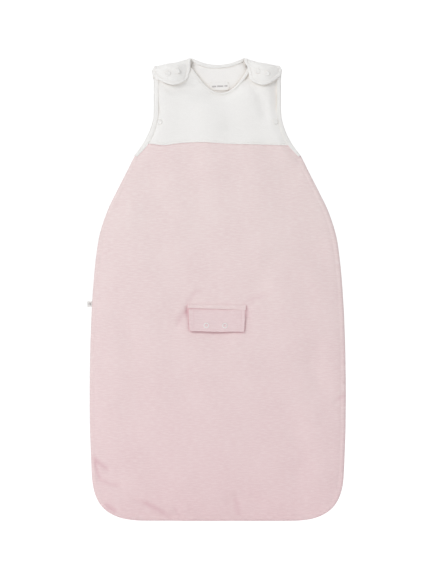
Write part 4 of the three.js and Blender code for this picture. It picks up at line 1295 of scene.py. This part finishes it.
def harness_flap():
    left, right, low, high = FLAP["left"], FLAP["right"], FLAP["low"], FLAP["high"]
    wave = np.linspace(right - 3, left + 4, 30)
    sag = low + 1.8 - 1.6 * (wave - left) / (right - left) + 0.45 * np.sin((wave - left) / 12)
    bottom = np.stack([wave, sag], axis=1)[::-1]
    left_side = [(right - 0.5, high), (left + 0.5, high + 1.2), (left + 1.2, low + 20), (left + 2.6, low + 3)]
    right_side = [(right - 2.6, low + 1.2), (right - 1, low + 22), (right - 0.5, high)]
    outline = spaced(np.vstack([left_side, bottom, right_side]), 2)[:-1]
    outline = outline if signed_area(outline) > 0 else outline[::-1]
    seams = [np.array([(left + 10.5, high - 1), (left + 10.5, low + 3.6)]),
             np.array([(right - 8, high - 1), (right - 8.5, low + 3)]),
             np.array([(left + 11, low + 5.2), (right - 9, low + 4.4)])]
    fine = [spaced(seam, 3) for seam in seams]
    flap = flat_piece("harness_flap_cloth", outline, SHADED_FLAP_PINK, FLAP_HALF, fine,
                      [(seam, deep) for seam, deep in zip(seams, (0.22, 0.2, 0.12))])
    on_body(flap, "flap", "body_jersey", "harness_flap")
    sewn = [front_seam(seam, flap_depth) for seam in seams]
    thread("harness_flap_stitches", sewn, THREAD_PINK, "flap")
    for label, (x, h) in zip(("left", "right"), FLAP_SNAPS):
        face = np.array([x, -flap_depth(np.array([[x, h]]), FLAP_HALF)[0], h])
        snap(f"harness_snap_ring_{label}", RING, face, (0, -1, 0), "flap", f"harness_snap_socket_{label}")
        snap(f"harness_snap_back_{label}", SOCKET_BACK, face + [0, 2 * FLAP_HALF, 0], (0, -1, 0), "flap",
             None)
        spot = np.array([[x, h]])
        snap(f"harness_stud_{label}", STUD, lift(spot, FRONT, 1)[0] - [0, 0.2, 0], (0, -1, 0), "root",
             f"harness_snap_stud_{label}")


def signed_area(loop):
    x, y = loop.T
    return float(np.sum(x * np.roll(y, -1) - np.roll(x, -1) * y)) / 2


def harness_band():
    """The band that the flap hangs from, with a row of stitches near its top and its foot."""
    low, high = FLAP["high"] - 0.6, FLAP["high"] + 9.6
    left, right = FLAP["left"] - 1.5, FLAP["right"] + 1.2
    corners = [(left, low + 1.2), (right, low - 2.4), (right + 0.4, high - 0.8), (0, high + 1.4),
               (left + 0.3, high + 3.2), (left, low + 1.2)]
    outline = spaced(corners, 2)[:-1]
    rows = [np.array([(left + 2, high + 0.8), (right - 2, high - 2.8)]),
            np.array([(left + 2, low + 3.0), (right - 2, low - 0.4)])]
    face = FLAP_FACE - 0.5

    def depth(flat, off):
        panel = -lift(flat, FRONT, 1)[:, 1]
        down = smooth(high - flat[:, 1], -1, 5.5)
        sunk = lerp(panel - FLAP_HALF - 0.5, face - FLAP_HALF - 0.2, down)
        return sunk + 0.18 * np.sin(flat[:, 0] / 7) + off

    band = flat_piece("harness_band", outline, PINK, FLAP_HALF, [spaced(row, 3) for row in rows],
                      [(rows[0], 0.45), (rows[1], 0.3)], depth=depth)
    on_body(band, "root", "body_jersey", "harness_welt")
    sewn = [front_seam(row, depth) for row in rows]
    thread("harness_band_stitches", sewn, THREAD_PINK, "root")


def slot_binding(name, side, rim, proud, nodes):
    """Cloth folded round the edge of a slot and sewn down on the inside and the outside of the panel.
    Returns the edge of the slot and its outward directions."""
    left, right, low, high = SLOT
    loop = rectangle_loop(left + 0.6, right - 0.6, low + 0.6, high - 0.6, 2.6, 2.5)
    out = outside_of(loop)
    rows = []
    section = [(rim, 1, 0.1), (rim - 0.3, 1, proud), (rim - 1.6, 1, proud + 0.3), (rim * 0.4, 1, proud + 0.4),
               (0.6, 0.96, proud * 0.7), (0, 0.5, 0), (0.6, 0.05, -0.7), (rim * 0.4, 0, -1.2),
               (rim - 0.3, 0, -1.1), (rim, 0, -0.3), (rim, 0.5, 0)]
    for reach, share, raised in section:
        at = loop + out * reach
        edge = loop + out * max(reach, 1.4)
        depth = cavity(*edge.T, side) + share * PANEL + raised
        rows.append(at_depth(at, side * depth) + draped(edge, side))
    piece = tube(name, np.stack(rows, axis=1), PINK, closed=True)
    on_body(piece, "root", "body_jersey", *nodes)
    return loop, out


harness_flap()
harness_band()
slot_binding("front_slot_facing", FRONT, 4.0, 0.25, [])
slot_loop, slot_out = slot_binding("back_slot_trim", BACK, 6.6, 1.0, ["back_slot_binding"])
slot_row = come_round(slot_loop + slot_out * 5.2)
slot_depth = cavity(*slot_row.T, BACK) + PANEL + 1.25
slot_sewn = at_depth(slot_row, slot_depth) + draped(slot_row, BACK)
thread("back_slot_stitches", [(slot_sewn, np.tile([0.0, 1.0, 0.0], (len(slot_row), 1)))], THREAD_PINK, "root")


# ------------------------------------------------------------------ zip
ZIP_LINE = spaced(np.vstack([[[ZIP_END_X, 0]], SIDE[1:]]), 2.0)
ZIP_LINE = ZIP_LINE[ZIP_LINE[:, 1] < ZIP_TOP_H]
ZIP_OUT = right_of(ZIP_LINE)
COIL_OUT = (-7.0, -4.6)    # the coil and the tape lie this far inside the outline
TAPE_OUT = (-12.6, -7.3)
COIL_RADIUS = 0.36
HEAD_RADIUS = 0.5


def along_zip(outward, depth):
    return at_depth(ZIP_LINE + ZIP_OUT * outward, float(depth))


def zip_half(side, word):
    near, far = 0.3, 4.1
    inner, outer = TAPE_OUT
    route = [(outer, near), (outer + 0.15, 1.5), (outer, far - 0.5), (outer - 0.5, far), (-10, far - 0.1),
             (inner, far), (inner, far - 0.6), (-10, far - 0.7), (outer - 0.75, far - 0.7),
             (outer - 0.65, 1.5), (outer - 0.6, near)]
    tape = tube(f"zip_tape_{word}_cloth", np.stack([along_zip(o, side * d) for o, d in route], axis=1), TAPE)
    turns = []
    low, high = along_zip(COIL_OUT[0] + 0.2, 0), along_zip(COIL_OUT[1] - 0.4, 0)
    for k in range(1, len(ZIP_LINE) - 1):
        step = (ZIP_LINE[k + 1] - ZIP_LINE[k]) / 4
        slant = np.array([step[0], 0, step[1]])
        for reach in (0.55, 1.75):
            off = np.array([0, side * reach, 0])
            turns.append(capsule(low[k] + off - slant, high[k] + off + slant, COIL_RADIUS))
        head = high[k] + slant
        turns.append(capsule(head + [0, side * 0.45, 0], head + [0, side * 1.85, 0], HEAD_RADIUS))
    coil = joined(f"zip_coil_{word}_turns", turns, COIL)
    return tape, coil


for word, side in (("front", FRONT), ("back", BACK)):
    tape, coil = zip_half(side, word)
    for kind, piece in (("tape", tape), ("coil", coil)):
        slot = f"zip_{kind}"
        if side == FRONT:
            folds(piece)
            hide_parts(*(f"zip_{kind}_front{part}" for part in ("", "_top", "_end")))
        else:
            on_body(piece, "root", slot, f"zip_{kind}_back")

guard_line = ZIP_LINE[(ZIP_LINE[:, 1] > 14) | (ZIP_LINE[:, 0] > 20)]
guard_out = right_of(guard_line)
guard_rows = []
for outward, depth in ((-22, 1.7), (-15, 1.75), (-9.4, 1.7), (-9, 2.1), (-9.4, 2.5), (-15, 2.55), (-22, 2.5)):
    guard_rows.append(at_depth(guard_line + guard_out * outward, depth))
guard = tube("zip_guard_cloth", np.stack(guard_rows, axis=1), LINING)
on_body(guard, "root", "lining", "zip_guard")

for node, material in ((f"zip_{kind}_{end}", COIL if kind == "stop" else SLIDER)
                       for kind in ("slider", "puller", "stop") for end in ("upper", "lower")):
    part = frame["nodes"][node]
    part.data.materials.clear()
    part.data.materials.append(material)
    bevel = part.modifiers.new("worn_edges", "BEVEL")
    bevel.width = 0.0003
    bevel.segments = 3


# ------------------------------------------------------------------ labels
def pattern_box(node):
    """Left, right, low and high of a CAD node in the pattern."""
    low_corner, high_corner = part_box(node)
    return low_corner.x / MM, high_corner.x / MM, (low_corner.z - HEM) / MM, (high_corner.z - HEM) / MM


def side_label():
    """A small folded label caught in the side seam, with two plain grey bars."""
    left, right, low, high = pattern_box("side_label")
    right += 5             # the part inside the seam
    rows = []
    for h in np.linspace(low, high, 12):
        curl = 0.7 * ((h - low) / (high - low) - 0.4)
        lean = 0.5 * np.sin((h - low) / 4)
        xs = np.linspace(right, left, 12)
        bend = curl * ((right - xs) / (right - left)) ** 2
        outer = [(x + lean * 0.2, -0.45 - 0.15 * math.sin((right - x) / 4) - b, h) for x, b in zip(xs, bend)]
        inner = [(x + lean * 0.2, 0.35 - b, h) for x, b in zip(xs[::-1], bend[::-1])]
        nose = [(left - 0.35 + lean * 0.2, -0.05 - bend[-1], h)]
        rows.append(outer + nose + inner)
    label = tube("side_label_loop", rows, SATIN)
    on_body(label, "root", "label", "side_label")
    bar = [(left + 2.2, low + 3.2), (left + 6.6, low + 3.0), (left + 6.6, low + 4.4), (left + 2.2, low + 4.6)]
    bar += [(x, h + 2.7) for x, h in bar]
    points = [(x, y, h) for y in (-0.78, -0.55) for x, h in bar]
    faces = []
    for first in (0, 4):
        faces += [(first, first + 1, first + 2, first + 3), (first + 11, first + 10, first + 9, first + 8)]
        faces += [(first + k, first + 8 + k, first + 8 + (k + 1) % 4, first + (k + 1) % 4) for k in range(4)]
    mark = make("side_label_bars", points, faces, PRINT)
    on_body(mark, "root", "label")


PATCH_HALF = 0.3           # half thickness of the neck patch
BAR_HALF_HEIGHT = 1.5
BAR_RISE = 0.22


def neck_label():
    """A thin plain patch inside the back neck, with three plain bars."""
    left, right, low, high = pattern_box("neck_label")
    outline = rectangle_loop(left, right, low, high, 3, 2)

    def depth(flat, off):
        return -(cavity(*flat.T, BACK) - 0.2 - off)

    patch = flat_piece("neck_patch", outline, LINING, PATCH_HALF, rim=0.05, depth=depth, step=4)
    on_body(patch, "root", "label", "neck_label")
    bars = []
    for k, (x, wide) in enumerate(((left + 5, 8), (left + 15, 12), (left + 29, 6))):
        h = low + 8 + 0.6 * (k - 1)
        line = spaced(np.array([(x, h), (x + wide, h + 0.2)]), 1)
        spine = at_depth(line, cavity(*line.T, BACK) - 0.55)
        turn = np.linspace(0, 2 * math.pi, 14, endpoint=False)
        ring = [(BAR_HALF_HEIGHT * math.cos(a), BAR_RISE * math.sin(a)) for a in turn]
        rows = [[p + [0, dy, dz] for dz, dy in ring] for p in spine]
        points = np.array(rows).reshape(-1, 3)
        bars.append((points, facing_out(points, skin(len(spine), len(ring)))))
    mark = joined("neck_patch_bars", bars, PRINT)
    on_body(mark, "root", "label")


side_label()
neck_label()


# ------------------------------------------------------------------ floor, light and camera
LIT_POINT = (0, 0, -0.44)
LIGHTS = [                 # name, place, size across and power
    ("key_light", (-4.0, -5.0, 3.2), 3.6, 240),
    ("fill_light", (2.4, -2.6, 0.3), 2.6, 15),
    ("back_light", (0.6, 3.2, 1.4), 2.6, 45),
    ("top_light", (0, 0.2, 2.6), 2.4, 20),
]
FLOOR_DROP = 0.03          # the floor lies this far under the bag
FLOOR_REACH = 30
WORLD_LIGHT = 0.39
WORLD_SEEN = 1.05          # how bright the same surroundings look behind the bag


def area_light(name, location, size, power):
    data = bpy.data.lights.new(name, "AREA")
    data.shape = "DISK"
    data.size = size
    data.energy = power
    light = bpy.data.objects.new(name, data)
    light.location = location
    bpy.context.scene.collection.objects.link(light)
    light.rotation_euler = (Vector(LIT_POINT) - light.location).to_track_quat("-Z", "Y").to_euler()


def studio():
    floor_level = CAD_BOX[0].z - FLOOR_DROP
    finish = Finish("studio_floor", 0.9)
    place = finish.node("TexCoord", 3)
    finish.shader.inputs["Emission Color"].default_value = grey(1)
    seen_floor = finish.node("LightPath")
    pale = finish.mix(finish.noise(place, 3, 2), grey(0.93), grey(0.96))
    finish.paint(finish.mix(seen_floor, pale, grey(0.04)))
    finish.link(finish.spread(seen_floor, 0, 1, 0.12, 1.0), finish.shader.inputs["Emission Strength"])
    mesh = bpy.data.meshes.new("studio_floor")
    square = [(x * FLOOR_REACH, y * FLOOR_REACH) for x, y in ((-1, -1), (1, -1), (1, 1), (-1, 1))]
    mesh.from_pydata([(x, y, floor_level) for x, y in square], [], [(0, 1, 2, 3)])
    mesh.materials.append(finish.material)
    floor = bpy.data.objects.new("studio_floor", mesh)
    bpy.context.scene.collection.objects.link(floor)

    for light in LIGHTS:
        area_light(*light)

    world = bpy.data.worlds.new("studio")
    bpy.context.scene.world = world
    world.use_nodes = True
    tree = world.node_tree
    around = tree.nodes["Background"]
    around.inputs["Color"].default_value = grey(1)
    around.inputs["Strength"].default_value = WORLD_LIGHT
    seen = tree.nodes.new("ShaderNodeBackground")
    seen.inputs["Color"].default_value = grey(1)
    seen.inputs["Strength"].default_value = WORLD_SEEN
    path = tree.nodes.new("ShaderNodeLightPath")
    choose = tree.nodes.new("ShaderNodeMixShader")
    tree.links.new(path.outputs["Is Camera Ray"], choose.inputs[0])
    tree.links.new(around.outputs[0], choose.inputs[1])
    tree.links.new(seen.outputs[0], choose.inputs[2])
    tree.links.new(choose.outputs[0], tree.nodes["World Output"].inputs["Surface"])


def camera():
    distance_back = 5.0
    view_height = 1.1279       # what the picture shows from top to bottom, at the bag
    data = bpy.data.cameras.new("camera")
    data.sensor_fit = "VERTICAL"
    data.sensor_height = 36
    data.lens = data.sensor_height * distance_back / view_height
    data.clip_end = 100
    made = bpy.data.objects.new("camera", data)
    made.location = (-0.0014, -distance_back, -0.435)
    made.rotation_euler = (math.pi / 2, 0, 0)
    bpy.context.scene.collection.objects.link(made)
    bpy.context.scene.camera = made


studio()
camera()
bpy.context.scene.view_settings.view_transform = "Standard"
